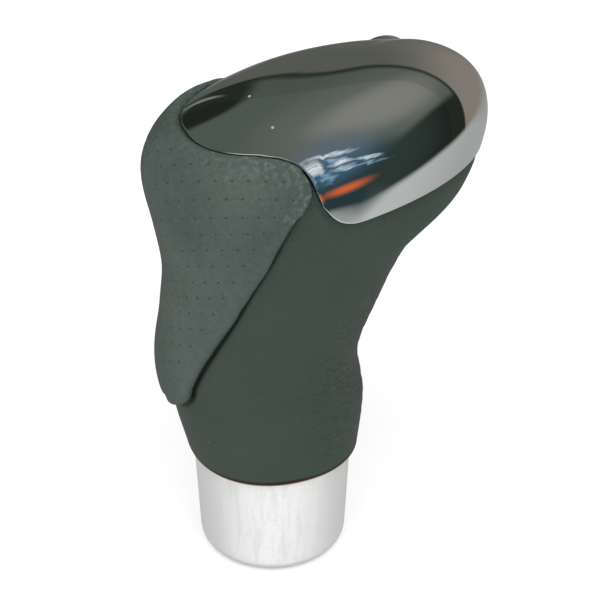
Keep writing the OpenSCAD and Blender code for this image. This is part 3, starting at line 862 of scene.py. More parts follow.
@dataclass
class LeatherSleeve:
    """Smooth leather over the stalk and under the head, with a turned hem."""

    wall: float = 1.3
    seam: float = 0.2
    length: float = 78.0
    hem_round: float = 0.55
    round_steps: int = 8
    hem_reach: float = 3.0
    hem_rows: int = 18
    top_drop: float = 0.45
    groove_depth: float = 0.5
    groove_width: float = 0.42
    folds: tuple[tuple[float, tuple[float, float, float], float], ...] = (
        (0.11, (0.25, 0.25, 0.95), 3.1), (0.13, (0.09, 0.09, 0.3), 7.7),
        (0.035, (0.5, 0.5, 2.0), 8.9))
    slack: float = 0.03
    raw_edge: tuple[float, float] = (0.42, 0.56)
    hem_shade: float = 0.85
    hem_soft: float = 0.3
    columns: int = 360
    outer_rows: int = 210
    inner_rows: int = 24

    def path(self) -> tuple[Array, Array]:
        """Closed path of the wall: share of the way up, and height over the outside."""
        turn = np.radians(np.linspace(-90, 0, self.round_steps + 1))[:-1]
        low_h = -self.hem_round + self.hem_round * np.cos(turn)
        low_s = (self.hem_round + self.hem_round * np.sin(turn)) / self.length
        hem = np.linspace(self.hem_round, self.hem_reach, self.hem_rows)[:-1] / self.length
        up = np.concatenate([
            hem, np.linspace(self.hem_reach / self.length, 1.0, self.outer_rows)])
        drop = -self.top_drop * smooth_step(up, 0.965, 1.0)
        inner_s = np.linspace(1.0, 0.0, self.inner_rows)
        inner_h = np.full(self.inner_rows, -self.wall)
        shares = np.concatenate([low_s, up, inner_s, low_s[:1]])
        heights = np.concatenate([low_h, drop, inner_h, low_h[:1]])
        return shares, heights

    def wrinkles(self, points: Array, t: Array, a: Array) -> Array:
        """Small folds where the leather is pulled round the front of the stalk.

        Args:
            points: Points in millimetres.
            t: Level of each point.
            a: Angle of each point.

        Returns:
            Rise of each point, from the folds' own strengths, scales and seeds.
        """
        front = 1.0 - smooth_step(fold_angle(a), 40.0, 105.0)
        zone = smooth_step(t, 0.3, 0.9) * (1.0 - smooth_step(t, 3.6, 4.6))
        pulled = sum(strength * ripple(points, scale, seed)
                     for strength, scale, seed in self.folds)
        return front * zone * pulled + self.slack * ripple(points, (0.12, 0.12, 0.12), 11.3)

    def groove(self, points: Array, t: Array, outside: Array) -> Array:
        """Share by which each point lies in the groove along the panel's lower edge."""
        line = PaddedPanel().foot_line()
        tree = KDTree(len(line))
        for index, point in enumerate(line):
            tree.insert(point, index)
        tree.balance()
        near = np.zeros(len(points))
        width = self.groove_width + 0.5 * (1.0 - np.clip((t - 2.0) / 2.0, 0.0, 1.0))
        for index in np.flatnonzero(outside & (t > 1.0) & (t < 6.3)):
            near[index] = math.exp(-(tree.find(points[index])[2] / width[index]) ** 2)
        return near

    def build(self, material: Material) -> Piece:
        """Make the sleeve.

        Args:
            material: Finish of the leather.

        Returns:
            The piece.
        """
        shares, heights = self.path()
        mesh, column, row = grid_mesh(self.columns, len(shares) - 1)
        a = column * 360.0 / self.columns
        edge = CAP_EDGE.at(a)
        top = edge - self.seam * edge_t_per_mm(edge)
        t, h = shares[row] * top, heights[row]
        points = GRIP.skin(t, a, h)
        outside = h > -self.hem_round
        lift = np.zeros(len(points))
        lift[outside] = self.wrinkles(points[outside], t[outside], a[outside])
        lift *= smooth_step(t, 0.02, 0.2) * (1.0 - smooth_step(t, 5.0, 5.5))
        near = self.groove(points, t, outside)
        lift -= self.groove_depth * near
        points += lift[:, None] * GRIP.outward(t, a)
        place_vertices(mesh, points)
        rise = points[:, 2] - GRIP.hem_z
        wave = ripple(points, (0.11, 0.11, 0.0), 4.4)
        rear_flank = np.exp(-(fold_angle(a - 245.0) / 38.0) ** 2)
        hem = self.hem_shade + 0.3 * wave + 0.5 * rear_flank
        gathered = 1.0 - smooth_step(fold_angle(a), 52.0, 112.0)
        gathered *= smooth_step(t, 0.15, 0.7) * (1.0 - smooth_step(t, 2.9, 4.2))
        gathered *= 0.55 + 0.45 * ripple(points, (0.15, 0.15, 0.2), 6.6)
        # hem_shade is a painted shadow along the hem; groove also gives the painted shade in the
        # groove besides its depth; crease gives the painted shade and highlight on the folds.
        for name, values in (
            ("hem_shade", 1.0 - smooth_step(rise, hem, hem + self.hem_soft)),
            ("raw_edge", 1.0 - smooth_step(rise, *self.raw_edge)),
            ("groove", near),
            ("crease", gathered),
        ):
            store_attribute(mesh, name, values)
        weld(mesh)
        return make_piece(mesh, "smooth_leather", "knob", material,
                          ("leather_sleeve",))


@dataclass
class PaddedPanel:
    """Perforated leather panel over foam, round the rear and both sides of the head."""

    height: float = 2.0
    crown: float = 0.2
    roll: float = 1.7
    foot_t: float = 1.5
    foot_end: float = 2.1
    levels: tuple[float, ...] = (1.5, 2.1, 2.7, 3.3, 3.9, 4.7, 5.3, 5.6, 5.9, 6.0, 6.07, 6.5)
    halves: tuple[float, ...] = (24.0, 24.5, 30.5, 37.0, 42.0, 47.6, 52.2, 54.6, 57.4, 59.0,
                                 62.0, 62.4)
    gap: float = 0.6
    seam: float = 0.03
    corner_t: float = 6.275
    pitch: float = 2.8
    row_pitch: float = 3.7
    row_shift: float = 0.5
    row_crowd: float = 0.0042
    row_climb: tuple[float, float, float] = (0.206, 0.51, 0.835)
    edge_wave: float = 0.5
    dimple: float = 0.05
    dimple_r: float = 0.5
    unevenness: float = 0.05
    crumple: float = 0.2
    side_crowd: float = 0.2
    end_crowd: float = 0.14
    columns: int = 200
    rows: int = 230

    def half(self, t: Array) -> Array:
        """Half angle of the panel at each level up to its upper corner."""
        reach = 5
        fine = np.linspace(self.levels[0], self.levels[-1], 400)
        raw = np.interp(fine, self.levels, self.halves)
        weights = np.hanning(2 * reach + 1)
        eased = np.convolve(np.pad(raw, reach, "edge"), weights / weights.sum(), "valid")
        foot = np.clip((t - self.foot_t) / (self.foot_end - self.foot_t), 0.0, 1.0)
        shape = np.interp(t, fine, eased) * np.sqrt(foot * (2.0 - foot))
        limit = 180.0 - CAP_EDGE.corner(t) - self.gap
        soft = 0.4
        return -soft * np.logaddexp(-shape / soft, -limit / soft)

    def foot_line(self) -> list[Array]:
        """Points on the leather along the panel's lower edge, from corner to corner."""
        share = np.linspace(0, 1, 600) ** 1.5
        level = self.foot_t + (self.corner_t - self.foot_t) * share
        half = self.half(level)
        return [*GRIP.at(level, 180.0 + half), *GRIP.at(level, 180.0 - half)]

    def outline(self) -> tuple[Array, Array]:
        """Levels and angles of the panel's grid, whose top row follows the cap's edge."""
        u = np.linspace(-1, 1, self.columns + 1)
        u = u + self.side_crowd * (np.sin(u * math.pi / 2) - u)
        v = np.linspace(0, 1, self.rows + 1)
        v = v + self.end_crowd * ((1 - np.cos(v * math.pi)) / 2 - v)
        level = self.foot_t + (self.corner_t - self.foot_t) * v
        wave = np.array([noise.noise(Vector((t * 3.0, 0.5, 0.2))) for t in level])
        wave *= self.edge_wave * smooth_step(level, 2.0, 2.6) * (1 - smooth_step(level, 5.5, 5.9))
        half = np.maximum(self.half(level), 0.01) + wave
        a = 180.0 + u[None, :] * half[:, None]
        edge = CAP_EDGE.at(a)
        top = np.maximum(edge - self.seam * edge_t_per_mm(edge), self.corner_t)
        t = level[:, None] + (top - self.corner_t) * smooth_step(v, 0.6, 1.0)[:, None]
        return t, a

    def border(self, base: Array) -> Array:
        """Distance of each grid point to the panel's outline, in millimetres."""
        across, up = run_length(base, 1), run_length(base, 0)
        side = np.minimum(across, across[:, -1:] - across)
        ends = np.minimum(up, up[-1:] - up)
        slack = 0.5
        border = -slack * np.logaddexp(-side / slack, -ends / slack)
        return np.where(np.minimum(side, ends) < 1e-6, 0.0, np.maximum(border, 0.0))

    def lattice(self, base: Array) -> tuple[Array, Array]:
        """Place of each grid point in the leaning rows of holes, whole numbers at the holes."""
        across = run_length(base, 1)
        across = across - across[:, self.columns // 2][:, None]
        climb = base @ np.array(self.row_climb)
        row = (climb + self.row_crowd * (climb - climb.min()) ** 2) / self.row_pitch
        return (across + self.row_shift * row) / self.pitch, row

    def padding(self, t: Array, a: Array, border: Array) -> Array:
        """Height over the leather: a rolled border, with a lower lobe on the button's side.

        Args:
            t: Level of each grid point.
            a: Angle of each grid point.
            border: Distance of each grid point to the outline.

        Returns:
            Height of each grid point in millimetres.
        """
        low = 0.12 + 0.26 * smooth_step(t, 5.9, 6.2)
        upper = smooth_step(t, 5.6, 5.95) * (1.0 - smooth_step(a, 124.0, 150.0))
        tall = self.height * (1.0 - 0.45 * upper)
        inward = np.clip(border / self.roll, 0.0, 1.0)
        rolled = low + (tall - low) * np.sqrt(1.0 - (1.0 - inward) ** 2.1)
        return rolled + self.crown * (1.0 - np.exp(-border / 6.0))

    @staticmethod
    def rubbing(t: Array, a: Array, border: Array) -> Array:
        """Share of wear along the cap, most away from the button, that crumples the leather and
        carries its painted glints.
        """
        corner = smooth_step(a, 196.0, 222.0)
        near = np.exp(-border / (1.8 + 1.6 * corner))
        return near * smooth_step(t, 5.7, 6.1) * (0.55 + 0.65 * corner)

    def build(self, material: Material) -> Piece:
        """Make the panel.

        Args:
            material: Finish of the perforated leather.

        Returns:
            The piece.
        """
        mesh, column, row = grid_mesh(self.columns, self.rows)
        order = row * (self.columns + 1) + column
        t, a = self.outline()
        flat_t, flat_a = t.ravel(), a.ravel()
        base = GRIP.at(flat_t, flat_a).reshape(t.shape + (3,))
        border = self.border(base)
        hole_u, hole_v = self.lattice(base)
        zone = smooth_step(border, 2.0, 3.0)
        off = np.hypot((hole_u - np.rint(hole_u)) * self.pitch,
                       (hole_v - np.rint(hole_v)) * self.row_pitch)
        h = self.padding(t, a, border) - self.dimple * zone * np.exp(-(off / self.dimple_r) ** 2)
        normals = GRIP.outward(flat_t, flat_a)
        points = GRIP.skin(flat_t, flat_a, h.ravel())
        points += self.unevenness * ripple(points, (0.16, 0.16, 0.16), 5.5)[:, None] * normals
        worn_glint = self.rubbing(t, a, border)
        crumple = ripple(points, (0.9, 0.9, 0.9), 2.2) * np.minimum(worn_glint, 1.0).ravel()
        crumple *= self.crumple * smooth_step(border, 0.3, 1.2).ravel()
        points += crumple[:, None] * normals
        place_vertices(mesh, points[order])
        for name, values in (("hole_u", hole_u), ("hole_v", hole_v), ("hole_zone", zone),
                             ("worn_glint", worn_glint)):
            store_attribute(mesh, name, values.ravel()[order])
        self.close_back(mesh, GRIP.skin(flat_t, flat_a, 0.05)[order])
        weld(mesh)
        piece = make_piece(mesh, "perforated_leather", "knob", material,
                           ("perforated_panel",))
        return piece

    @staticmethod
    def close_back(mesh: Mesh, places: Array) -> None:
        """Close the panel behind with a wall that lies on the leather.

        Args:
            mesh: The panel's face.
            places: Place of each vertex on the leather, in millimetres.
        """
        count = len(mesh.verts)
        made = bmesh.ops.duplicate(mesh, geom=mesh.verts[:] + mesh.edges[:] + mesh.faces[:])
        faces = [item for item in made["geom"] if isinstance(item, bmesh.types.BMFace)]
        bmesh.ops.reverse_faces(mesh, faces=faces)
        mesh.verts.ensure_lookup_table()
        for index, place in enumerate(places):
            vertex = mesh.verts[count + index]
            if not vertex.is_boundary:
                vertex.co = Vector(place) * MM


@dataclass
class BrightCap:
    """One-piece bright cap over the crown, with its opening for the button."""

    proud: float = 0.5
    wall: float = 1.35
    edge_round: float = 0.3
    belly: float = 0.16
    belly_t: float = 6.02
    tuck: float = 1.5
    flat: float = 0.55
    fairing: float = 1.3
    opening_r: float = 7.4
    button_side: float = 4.0
    bevel: float = 0.22
    columns: int = 360
    outer_rows: int = 170
    inner_rows: int = 14

    def height(self, t: Array, a: Array) -> Array:
        """Height of the outside over the leather: a belly that is tucked in at the edge."""
        low = np.minimum(t - self.belly_t, 0.0)
        rise = self.belly * (1.0 - smooth_step(t, self.belly_t, 6.55)) - self.tuck * low * low
        side = smooth_step(a, 25.0, 60.0) * (1.0 - smooth_step(a, 125.0, 160.0))
        level = smooth_step(t, 6.12, 6.3) * (1.0 - smooth_step(t, 6.75, 6.95))
        return self.proud + rise - self.flat * side * level

    def outside(self, a: Array, low: Array) -> Array:
        """Evenly spaced points of the outside, from the edge to the summit, faired.

        Args:
            a: Angle of each column.
            low: Level of the edge in each column.

        Returns:
            Points by row and column in millimetres.
        """
        fine = np.linspace(0.0, 1.0, 500)[:, None]
        t = low + (GRIP.last + 1.0 - low) * fine
        around = np.broadcast_to(a, t.shape)
        points = GRIP.at(t.ravel(), around.ravel()).reshape(t.shape + (3,))
        run = run_length(points, 0)
        even = np.linspace(0.0, 1.0, self.outer_rows)
        t = np.column_stack([np.interp(even * run[-1, k], run[:, k], t[:, k])
                             for k in range(len(a))])
        around = np.broadcast_to(a, t.shape)
        skin = GRIP.skin(t.ravel(), around.ravel(), self.height(t, around).ravel())
        skin = skin.reshape(t.shape + (3,))
        reach = 24
        padded = np.concatenate([2 * skin[:1] - skin[reach:0:-1], skin, skin[-reach - 1:-1]])
        spacing = float(run[-1].mean()) / self.outer_rows
        offsets = np.arange(-reach, reach + 1)
        weights = np.exp(-0.5 * (offsets * spacing / self.fairing) ** 2)
        faired = sum(w * padded[reach + k:reach + k + len(skin)]
                     for k, w in zip(offsets, weights / weights.sum()))
        share = (1.0 - smooth_step(t, 6.4, 6.7))[:, :, None]
        return skin + share * (faired - skin)

    def build(self, material: Material) -> Piece:
        """Make the cap.

        Args:
            material: Bright finish.

        Returns:
            The piece.
        """
        a = np.linspace(0.0, 360.0, self.columns + 1)
        edge = CAP_EDGE.at(a)
        low = edge + self.edge_round * edge_t_per_mm(edge)
        outer = self.outside(a, low)
        crest = self.height(low, a)
        turn = []
        for q in np.radians(np.linspace(0, 90, 7))[1:]:
            t = low - self.edge_round * math.sin(q) * edge_t_per_mm(edge)
            turn.append(GRIP.skin(t, a, crest - self.edge_round * (1 - math.cos(q))))
        inner = [GRIP.skin(edge + (GRIP.last + 1.0 - edge) * share, a, -self.wall)
                 for share in np.linspace(0.0, 1.0, self.inner_rows)]
        points = np.concatenate([outer[::-1], np.array(turn), np.array(inner)])
        mesh, column, row = grid_mesh(self.columns, len(points) - 1)
        place_vertices(mesh, points[row, column])
        weld(mesh)
        self.cut_opening(mesh)
        return make_piece(mesh, "bright_cap", "knob", material, ("chrome_cap",))

    def cut_opening(self, mesh: Mesh) -> None:
        """Open both walls round the button and join their rims with a small bevel."""
        low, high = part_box("release_button")
        centre = Vector(((low.x + high.x) / 2, 0.0, (low.z + high.z) / 2))
        radius = self.opening_r * MM
        near_y = self.button_side * MM

        def away(vertex: bmesh.types.BMVert) -> Vector:
            """Way from the button's axis to a vertex."""
            return Vector((vertex.co.x - centre.x, 0.0, vertex.co.z - centre.z))

        inside = {v for v in mesh.verts if v.co.y > near_y and away(v).length < radius}
        gone = [f for f in mesh.faces if all(v in inside for v in f.verts)]
        bmesh.ops.delete(mesh, geom=gone, context="FACES")
        mesh.normal_update()
        rim = [e for e in mesh.edges if e.is_boundary and e.verts[0].co.y > near_y]
        for vertex in {v for e in rim for v in e.verts}:
            step = away(vertex).normalized() * radius - away(vertex)
            normal = vertex.normal
            lean = (step.x * normal.x + step.z * normal.z) / max(abs(normal.y), 0.2)
            step.y = -lean if normal.y > 0 else lean
            vertex.co += step
        wall = bmesh.ops.bridge_loops(mesh, edges=rim)["faces"]
        bmesh.ops.recalc_face_normals(mesh, faces=mesh.faces[:])
        outer = [e for f in wall for e in f.edges
                 if sum(g in wall for g in e.link_faces) == 1]
        bmesh.ops.bevel(mesh, geom=outer, offset=self.bevel * MM, segments=3, profile=0.5,
                        affect="EDGES", material=-1)
        LOG.info("bright_cap: opening with %d edges", len(rim))


@dataclass
class CollarSet:
    """Turned collar at the foot."""

    height: float = 24.0
    top_r: float = 16.2
    foot_r: float = 15.2
    edge_r: float = 2.8
    top_edge: float = 0.35
    lip_edge: float = 0.4
    lip_r: float = 10.9
    lip_h: float = 2.2
    bore_r: float = 12.05
    recess_r: float = 14.1
    recess_z: float = 19.9
    steps: int = 192

    def build(self, material: Material) -> Piece:
        """Make the collar.

        Args:
            material: Brushed finish.

        Returns:
            The piece.
        """
        taper = math.degrees(math.atan2(self.top_r - self.foot_r, self.height - self.edge_r))
        outside = arc((self.foot_r - self.edge_r, self.edge_r), self.edge_r, -90, -taper, 14)
        top = arc((self.top_r - self.top_edge, self.height - self.top_edge), self.top_edge,
                  -taper, 90, 6)
        (low_r, low_z), (high_r, high_z) = outside[-1], top[0]
        side = [(low_r + (high_r - low_r) * k / 12, low_z + (high_z - low_z) * k / 12)
                for k in range(1, 12)]
        profile = [(self.lip_r, self.lip_edge), (self.lip_r + self.lip_edge, 0.0),
                   *outside, *side, *top,
                   (self.recess_r, self.height), (self.recess_r, self.recess_z),
                   (self.bore_r, self.recess_z), (self.bore_r, self.lip_h),
                   (self.lip_r, self.lip_h)]
        mesh = spun_solid(profile, self.steps)
        return make_piece(mesh, "turned_collar", "knob", material, ("collar",),
                          sharp_degrees=40)


@dataclass
class ReleaseButton:
    """Round button on the +Y flank of the head."""

    radius: float = 7.05
    edge: float = 0.9
    foot_edge: float = 0.3
    dish: float = 1.2
    steps: int = 96

    def build(self, material: Material) -> Piece:
        """Make the button.

        Args:
            material: Bright finish.

        Returns:
            The piece.
        """
        low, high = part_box("release_button")
        length = (high.y - low.y) / MM
        face_r = self.radius - self.edge
        crown = [face_r * (1 - k / 10) for k in range(1, 11)]
        profile = [(0.0, 0.0), (self.radius - self.foot_edge, 0.0),
                   (self.radius, self.foot_edge)]
        profile += arc((face_r, length - self.dish - self.edge), self.edge, 0, 90, 8)
        profile += [(r, length - self.dish * (r / face_r) ** 2) for r in crown]
        mesh = spun_solid(profile, self.steps)
        bmesh.ops.rotate(mesh, verts=mesh.verts[:], cent=(0, 0, 0),
                         matrix=Matrix.Rotation(math.radians(-90), 3, "X"))
        bmesh.ops.translate(mesh, verts=mesh.verts[:],
                            vec=((low.x + high.x) / 2, low.y, (low.z + high.z) / 2))
        return make_piece(mesh, "button_face", "button", material,
                          ("release_button",), sharp_degrees=50)


# Studio


@dataclass(frozen=True)
class RoomPatch:
    """Soft light or dark area of the room, by direction: turned angle and height in degrees."""

    centre: tuple[float, float]
    half: tuple[float, float]
    colour: Colour
    turn: float = 0.0
    soft: float = 0.3


@dataclass
class Room:
    """Surroundings that bright metal reflects: a dim room with a pale backdrop and windows.

    A table step holds two turned angles and how far the table's edge is lifted at each.
    """

    backdrop_turn: float = 40.0
    backdrop_half: float = 49.5
    glows: tuple[RoomPatch, ...] = (
        RoomPatch((-79.0, 42.0), (24.0, 22.0), (94, 107, 116), soft=0.8),
        RoomPatch((-78.0, 16.0), (17.0, 20.0), (66, 98, 120), soft=0.8),
        RoomPatch((-67.0, -18.0), (8.4, 4.6), (204, 104, 60), turn=8.0, soft=0.85),
        RoomPatch((-142.0, 6.0), (24.0, 34.0), (226, 229, 227), soft=0.4),
    )
    windows: tuple[RoomPatch, ...] = (
        RoomPatch((-79.0, 37.5), (12.0, 2.8), (218, 230, 238), turn=-22.0, soft=0.6),
        RoomPatch((-86.0, 24.0), (3.6, 12.0), (226, 232, 236), turn=14.0, soft=0.5),
        RoomPatch((-73.0, 21.0), (4.2, 3.0), (252, 254, 255), turn=-25.0, soft=0.5),
        RoomPatch((-62.0, 13.5), (8.0, 1.5), (210, 226, 236), turn=-46.0, soft=0.7),
        RoomPatch((-71.0, 11.0), (5.5, 2.6), (186, 212, 226), turn=-28.0, soft=0.6),
        RoomPatch((-61.0, 5.5), (8.0, 1.3), (140, 170, 186), turn=-36.0, soft=0.7),
        RoomPatch((-79.0, 6.0), (2.6, 9.0), (122, 162, 188), turn=18.0, soft=0.6),
        RoomPatch((-75.0, 27.0), (6.0, 1.8), (150, 182, 200), turn=-40.0, soft=0.7),
    )
    far_corner: RoomPatch = RoomPatch((98.0, 24.0), (13.0, 14.0), (32, 38, 31), 12.0, 0.18)
    strip: RoomPatch = RoomPatch((93.0, 14.0), (0.9, 10.0), (122, 128, 122), 4.0, 0.5)
    table_drop: float = 37.0
    table_steps: tuple[tuple[float, float, float, float], ...] = (
        (-58.0, -20.0, 0.0, 13.0), (-30.0, 5.0, 0.0, 6.0),
        (-124.0, -108.0, 27.0, 0.0), (112.0, 130.0, 0.0, 27.0))

    def build(self, sheet: NodeSheet, direction: Socket) -> Socket:
        """Colour of the room in each direction.

        Args:
            sheet: Sheet of the world.
            direction: Unit direction that is looked in.

        Returns:
            The colour.
        """
        x, y, z = sheet.add("ShaderNodeSeparateXYZ", {0: direction}).outputs
        turn = sheet.times(sheet.math("ARCTAN2", y, x), math.degrees(1.0))
        height = sheet.times(sheet.math("ARCSINE", z), math.degrees(1.0))
        place = sheet.add("ShaderNodeCombineXYZ", {0: turn, 1: height}).outputs[0]
        colour = self.ceiling(sheet, direction)
        colour = self.dim_walls(sheet, colour, place, height, turn)
        colour = self.paint(sheet, colour, place, self.glows)
        colour = self.backdrop(sheet, colour, direction, place)
        colour = self.bright_windows(sheet, colour, place)
        return self.table(sheet, colour, height, turn)

    @staticmethod
    def paint(sheet: NodeSheet, colour: Socket, place: Socket,
              patches: tuple[RoomPatch, ...]) -> Socket:
        """Lay patches over a colour."""
        for patch in patches:
            mask = sheet.patch(place, patch.centre, patch.half, patch.turn, patch.soft)
            colour = sheet.mix(mask, colour, srgb(*patch.colour))
        return colour

    @staticmethod
    def near(sheet: NodeSheet, direction: Socket, turn: float, height: float) -> Socket:
        """Cosine of the angle between the direction and a fixed one."""
        q, e = math.radians(turn), math.radians(height)
        aim = (math.cos(e) * math.cos(q), math.cos(e) * math.sin(q), math.sin(e))
        node = sheet.add("ShaderNodeVectorMath", {0: direction, 1: aim}, operation="DOT_PRODUCT")
        return node.outputs["Value"]

    def ceiling(self, sheet: NodeSheet, direction: Socket) -> Socket:
        """Grey overhead that dims away from one side."""
        lit = self.near(sheet, direction, -22.0, 62.0)
        broad = sheet.mix(sheet.ramp(lit, 0.5, 0.94), srgb(79, 90, 83), srgb(97, 104, 97))
        return sheet.mix(sheet.ramp(lit, 0.84, 1.0), broad, srgb(128, 129, 123))

    def dim_walls(self, sheet: NodeSheet, colour: Socket, place: Socket, height: Socket,
                  turn: Socket) -> Socket:
        """Dark room below the ceiling: one side, the wall at the nose and the far corner."""
        side = sheet.ramp(turn, -58.0, -40.0, 1.0, 0.0)
        low = sheet.times(sheet.ramp(height, 12.0, 46.0, 1.0, 0.0), side)
        colour = sheet.mix(low, colour, srgb(40, 58, 62))
        dark = sheet.patch(place, (-24.0, -8.0), (35.0, 33.0), -14.0, 0.16)
        deep = sheet.mix(sheet.ramp(turn, -48.0, -14.0), srgb(46, 58, 55), srgb(30, 34, 29))
        colour = sheet.mix(dark, colour, deep)
        return self.paint(sheet, colour, place, (self.far_corner,))

    def backdrop(self, sheet: NodeSheet, colour: Socket, direction: Socket,
                 place: Socket) -> Socket:
        """Pale round backdrop behind the object, with a dark line along its upper border."""
        reach = self.near(sheet, direction, self.backdrop_turn, 0.0)
        border = math.cos(math.radians(self.backdrop_half))
        ring = sheet.times(sheet.ramp(reach, 0.485, 0.505), 0.22)
        colour = sheet.mix(ring, colour, srgb(52, 60, 52))
        line = sheet.times(sheet.ramp(reach, border - 0.045, border - 0.01), 0.85)
        colour = sheet.mix(line, colour, srgb(36, 40, 34))
        glow = sheet.ramp(self.near(sheet, direction, 14.0, 4.0), 0.5, 0.98)
        pale = sheet.mix(glow, srgb(88, 91, 84), srgb(132, 126, 118))
        colour = sheet.mix(sheet.ramp(reach, border - 0.008, border + 0.012), colour, pale)
        return self.paint(sheet, colour, place, (self.strip,))

    def bright_windows(self, sheet: NodeSheet, colour: Socket, place: Socket) -> Socket:
        """Lay the windows on with wavy borders, and let streaks dim them."""
        drift = sheet.add("ShaderNodeTexNoise", {"Vector": place, "Scale": 0.16, "Detail": 3.0})
        shift = sheet.add("ShaderNodeVectorMath", {0: drift.outputs[1], 1: (0.5, 0.5, 0.5)},
                          operation="SUBTRACT")
        bent = sheet.add("ShaderNodeVectorMath", {0: shift.outputs[0], 1: (10.0, 10.0, 0.0),
                                                  2: place}, operation="MULTIPLY_ADD")
        fine = sheet.add("ShaderNodeMapping", {"Vector": bent.outputs[0],
                                               "Rotation": (0.0, 0.0, math.radians(35.0)),
                                               "Scale": (0.12, 1.1, 1.0)})
        streaks = sheet.ramp(sheet.noise(fine.outputs[0], 1.0, 3.0, 0.6), 0.36, 0.6)
        lit = self.paint(sheet, colour, bent.outputs[0], self.windows)
        return sheet.mix(streaks, sheet.mix(0.35, colour, lit), lit)

    def table(self, sheet: NodeSheet, colour: Socket, height: Socket, turn: Socket) -> Socket:
        """Pale table below, whose edge is lower or higher with the direction."""
        over = sheet.math("ADD", height, self.table_drop)
        for step in self.table_steps:
            over = sheet.math("SUBTRACT", over, sheet.ramp(turn, *step))
        spread = sheet.ramp(turn, -5.0, 35.0, 3.0, 15.0)
        below = sheet.ramp(sheet.math("DIVIDE", over, spread), -1.0, 1.0, 1.0, 0.0)
        pale = sheet.mix(sheet.ramp(turn, -60.0, 10.0), srgb(190, 194, 192),
                         srgb(163, 166, 164))
        return sheet.mix(below, colour, pale)


@dataclass
class Studio:
    """Camera, floor, lamp and surroundings."""

    turn_degrees: float = 22.0
    rise_degrees: float = 33.4
    distance: float = 0.45
    target: tuple[float, float, float] = (0.00625, 0.0, 0.0565)
    focal_pixels: float = 2244.5
    sensor: float = 36.0
    near_clip: float = 0.01
    floor_radius: float = 3.0
    floor_tone: float = 0.96
    floor_glow: float = 0.15
    sun_lean: tuple[float, float] = (32.0, -12.0)
    sun_strength: float = 0.8
    sun_spread: float = 50.0
    fill_light: float = 0.85

    def build(self) -> None:
        """Set the camera, the floor, the lamp and the world."""
        self.camera()
        self.floor()
        self.sun()
        self.world()
        bpy.context.scene.view_settings.view_transform = "Standard"

    def camera(self) -> None:
        """Camera at the photograph's place and angle."""
        data = bpy.data.cameras.new("camera")
        data.sensor_width = self.sensor
        data.lens = self.focal_pixels / IMAGE_WIDTH * self.sensor
        data.clip_start = self.near_clip
        camera = new_object("camera", data)
        psi, e = math.radians(self.turn_degrees), math.radians(self.rise_degrees)
        away = Vector((-math.sin(psi) * math.cos(e), -math.cos(psi) * math.cos(e), math.sin(e)))
        camera.location = Vector(self.target) + away * self.distance
        camera.rotation_euler = (-away).to_track_quat("-Z", "Y").to_euler()
        bpy.context.scene.camera = camera

    def floor(self) -> None:
        """Pale floor that keeps the object's shadow and that bright metal doesn't show."""
        mesh = bmesh.new()
        bmesh.ops.create_circle(mesh, cap_ends=True, radius=self.floor_radius, segments=96)
        data = bpy.data.meshes.new("floor")
        mesh.to_mesh(data)
        mesh.free()
        floor = new_object("floor", data)
        material, sheet, shader = blank_material("studio_floor")
        rays = sheet.add("ShaderNodeLightPath")
        sheet.feed(shader, {
            "Base Color": grey(self.floor_tone), "Roughness": 0.95, "Specular IOR Level": 0.0,
            "Emission Color": grey(1.0),
            "Emission Strength": sheet.times(rays.outputs["Is Camera Ray"], self.floor_glow)})
        clear = sheet.add("ShaderNodeBsdfTransparent")
        mixed = sheet.add("ShaderNodeMixShader", {0: rays.outputs["Is Glossy Ray"],
                                                  1: shader.outputs[0], 2: clear.outputs[0]})
        output = next(n for n in material.node_tree.nodes if n.type == "OUTPUT_MATERIAL")
        sheet.feed(output, {0: mixed.outputs[0]})
        data.materials.append(material)

    def sun(self) -> None:
        """Add one wide, soft sun that bright metal doesn't show."""
        data = bpy.data.lights.new("key", "SUN")
        data.energy = self.sun_strength
        data.angle = math.radians(self.sun_spread)
        lamp = new_object("key", data)
        lamp.rotation_euler = (*(math.radians(lean) for lean in self.sun_lean), 0.0)
        lamp.visible_glossy = False

    def world(self) -> None:
        """Even plain light, a white background, and the dim room for reflections alone."""
        world = bpy.data.worlds.new("studio")
        bpy.context.scene.world = world
        world.use_nodes = True
        world.node_tree.nodes.clear()
        sheet = NodeSheet(world.node_tree)
        coords = sheet.add("ShaderNodeTexCoord")
        room = Room().build(sheet, coords.outputs["Generated"])
        rays = sheet.add("ShaderNodeLightPath")
        plain = sheet.mix(rays.outputs["Is Camera Ray"], grey(self.fill_light), grey(1.0))
        shown = sheet.mix(rays.outputs["Is Glossy Ray"], plain, room)
        background = sheet.add("ShaderNodeBackground", {"Color": shown, "Strength": 1.0})
        sheet.add("ShaderNodeOutputWorld", {0: background.outputs[0]})


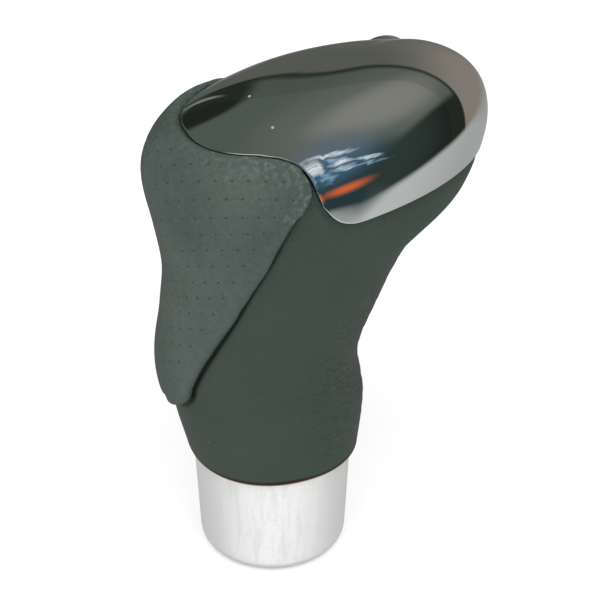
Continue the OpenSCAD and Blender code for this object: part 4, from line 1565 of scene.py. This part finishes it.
class InnerPieces:
    """Finishes for the solids that stay as the frame has them."""

    PLAIN = {
        "hem_ring": "black_plastic",
        "collar_o_ring": "rubber",
        "hub_insert": "hub",
        "adapter_sleeve": "white_plastic",
        "grub_screws": "steel",
        "grip_core": "core",
        "panel_foam": "foam",
        "head_insert": "core",
        "head_screws": "steel",
        "cap_push_nuts": "steel",
        "button_guide": "black_plastic",
        "button_dowel": "steel",
        "button_spring": "steel",
        "cam_slide": "white_plastic",
        "plunger": "white_plastic",
        "plunger_bush": "brass",
        "spring_washer": "steel",
        "plunger_spring": "steel",
        "retaining_clip": "steel",
    }

    def dress(self, finishes: dict[str, Material]) -> None:
        """Give each kept solid the finish of its slot."""
        for node, slot in self.PLAIN.items():
            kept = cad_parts[node]
            for place in kept.material_slots:
                place.material = finishes[slot]
            LOG.info("%s: finished as %s", node, slot)


def build_finishes(effects: Effects) -> dict[str, Material]:
    """Make every finish, under the record's slot names."""
    makers = {
        "leather": LeatherFinish("smooth_leather", Hide.SMOOTH, (59, 73, 65), (64, 78, 70),
                                 cell_scale=1700.0, grain_depth=0.35),
        "panel_leather": LeatherFinish("perforated_leather", Hide.PERFORATED, (71, 85, 79),
                                       (85, 100, 93), roughness=0.55, grain_depth=0.3),
        "chrome": MetalFinish("bright_plate", (245, 245, 244), 0.02, 0.02, dust_share=0.3),
        "collar": MetalFinish("brushed_collar", (255, 255, 254), 0.45, 0.15, lines=0.8,
                              line_scale=620.0, metallic=0.0, edge_shade=0.61,
                              sparkle=0.4),
        "hub": MetalFinish("turned_hub", (200, 200, 202), 0.3, 0.1, lines=0.15),
        "steel": MetalFinish("bright_steel", (176, 176, 178), 0.25, 0.15, lines=0.1),
        "brass": MetalFinish("turned_brass", (200, 165, 100), 0.28, 0.1, lines=0.1),
        "black_plastic": PlasticFinish("black_plastic", (24, 24, 25), 0.45),
        "white_plastic": PlasticFinish("white_plastic", (222, 218, 206), 0.38, 0.1),
        "rubber": PlasticFinish("seal_rubber", (22, 22, 23), 0.7),
        "core": PlasticFinish("core_plastic", (40, 41, 43), 0.55, 0.3, 900.0),
        "foam": PlasticFinish("pad_foam", (96, 98, 97), 0.95, 0.8, 2600.0),
    }
    return {slot: maker.build(effects) for slot, maker in makers.items()}


def main() -> None:
    """Build the pieces, dress the kept solids and set the studio."""
    finishes = build_finishes(Effects())
    LeatherSleeve().build(finishes["leather"])
    PaddedPanel().build(finishes["panel_leather"])
    BrightCap().build(finishes["chrome"])
    CollarSet().build(finishes["collar"])
    ReleaseButton().build(finishes["chrome"])
    InnerPieces().dress(finishes)
    Studio().build()


if __name__ == "__main__":
    logging.basicConfig(level=logging.INFO, format="%(name)s %(message)s")
    main()
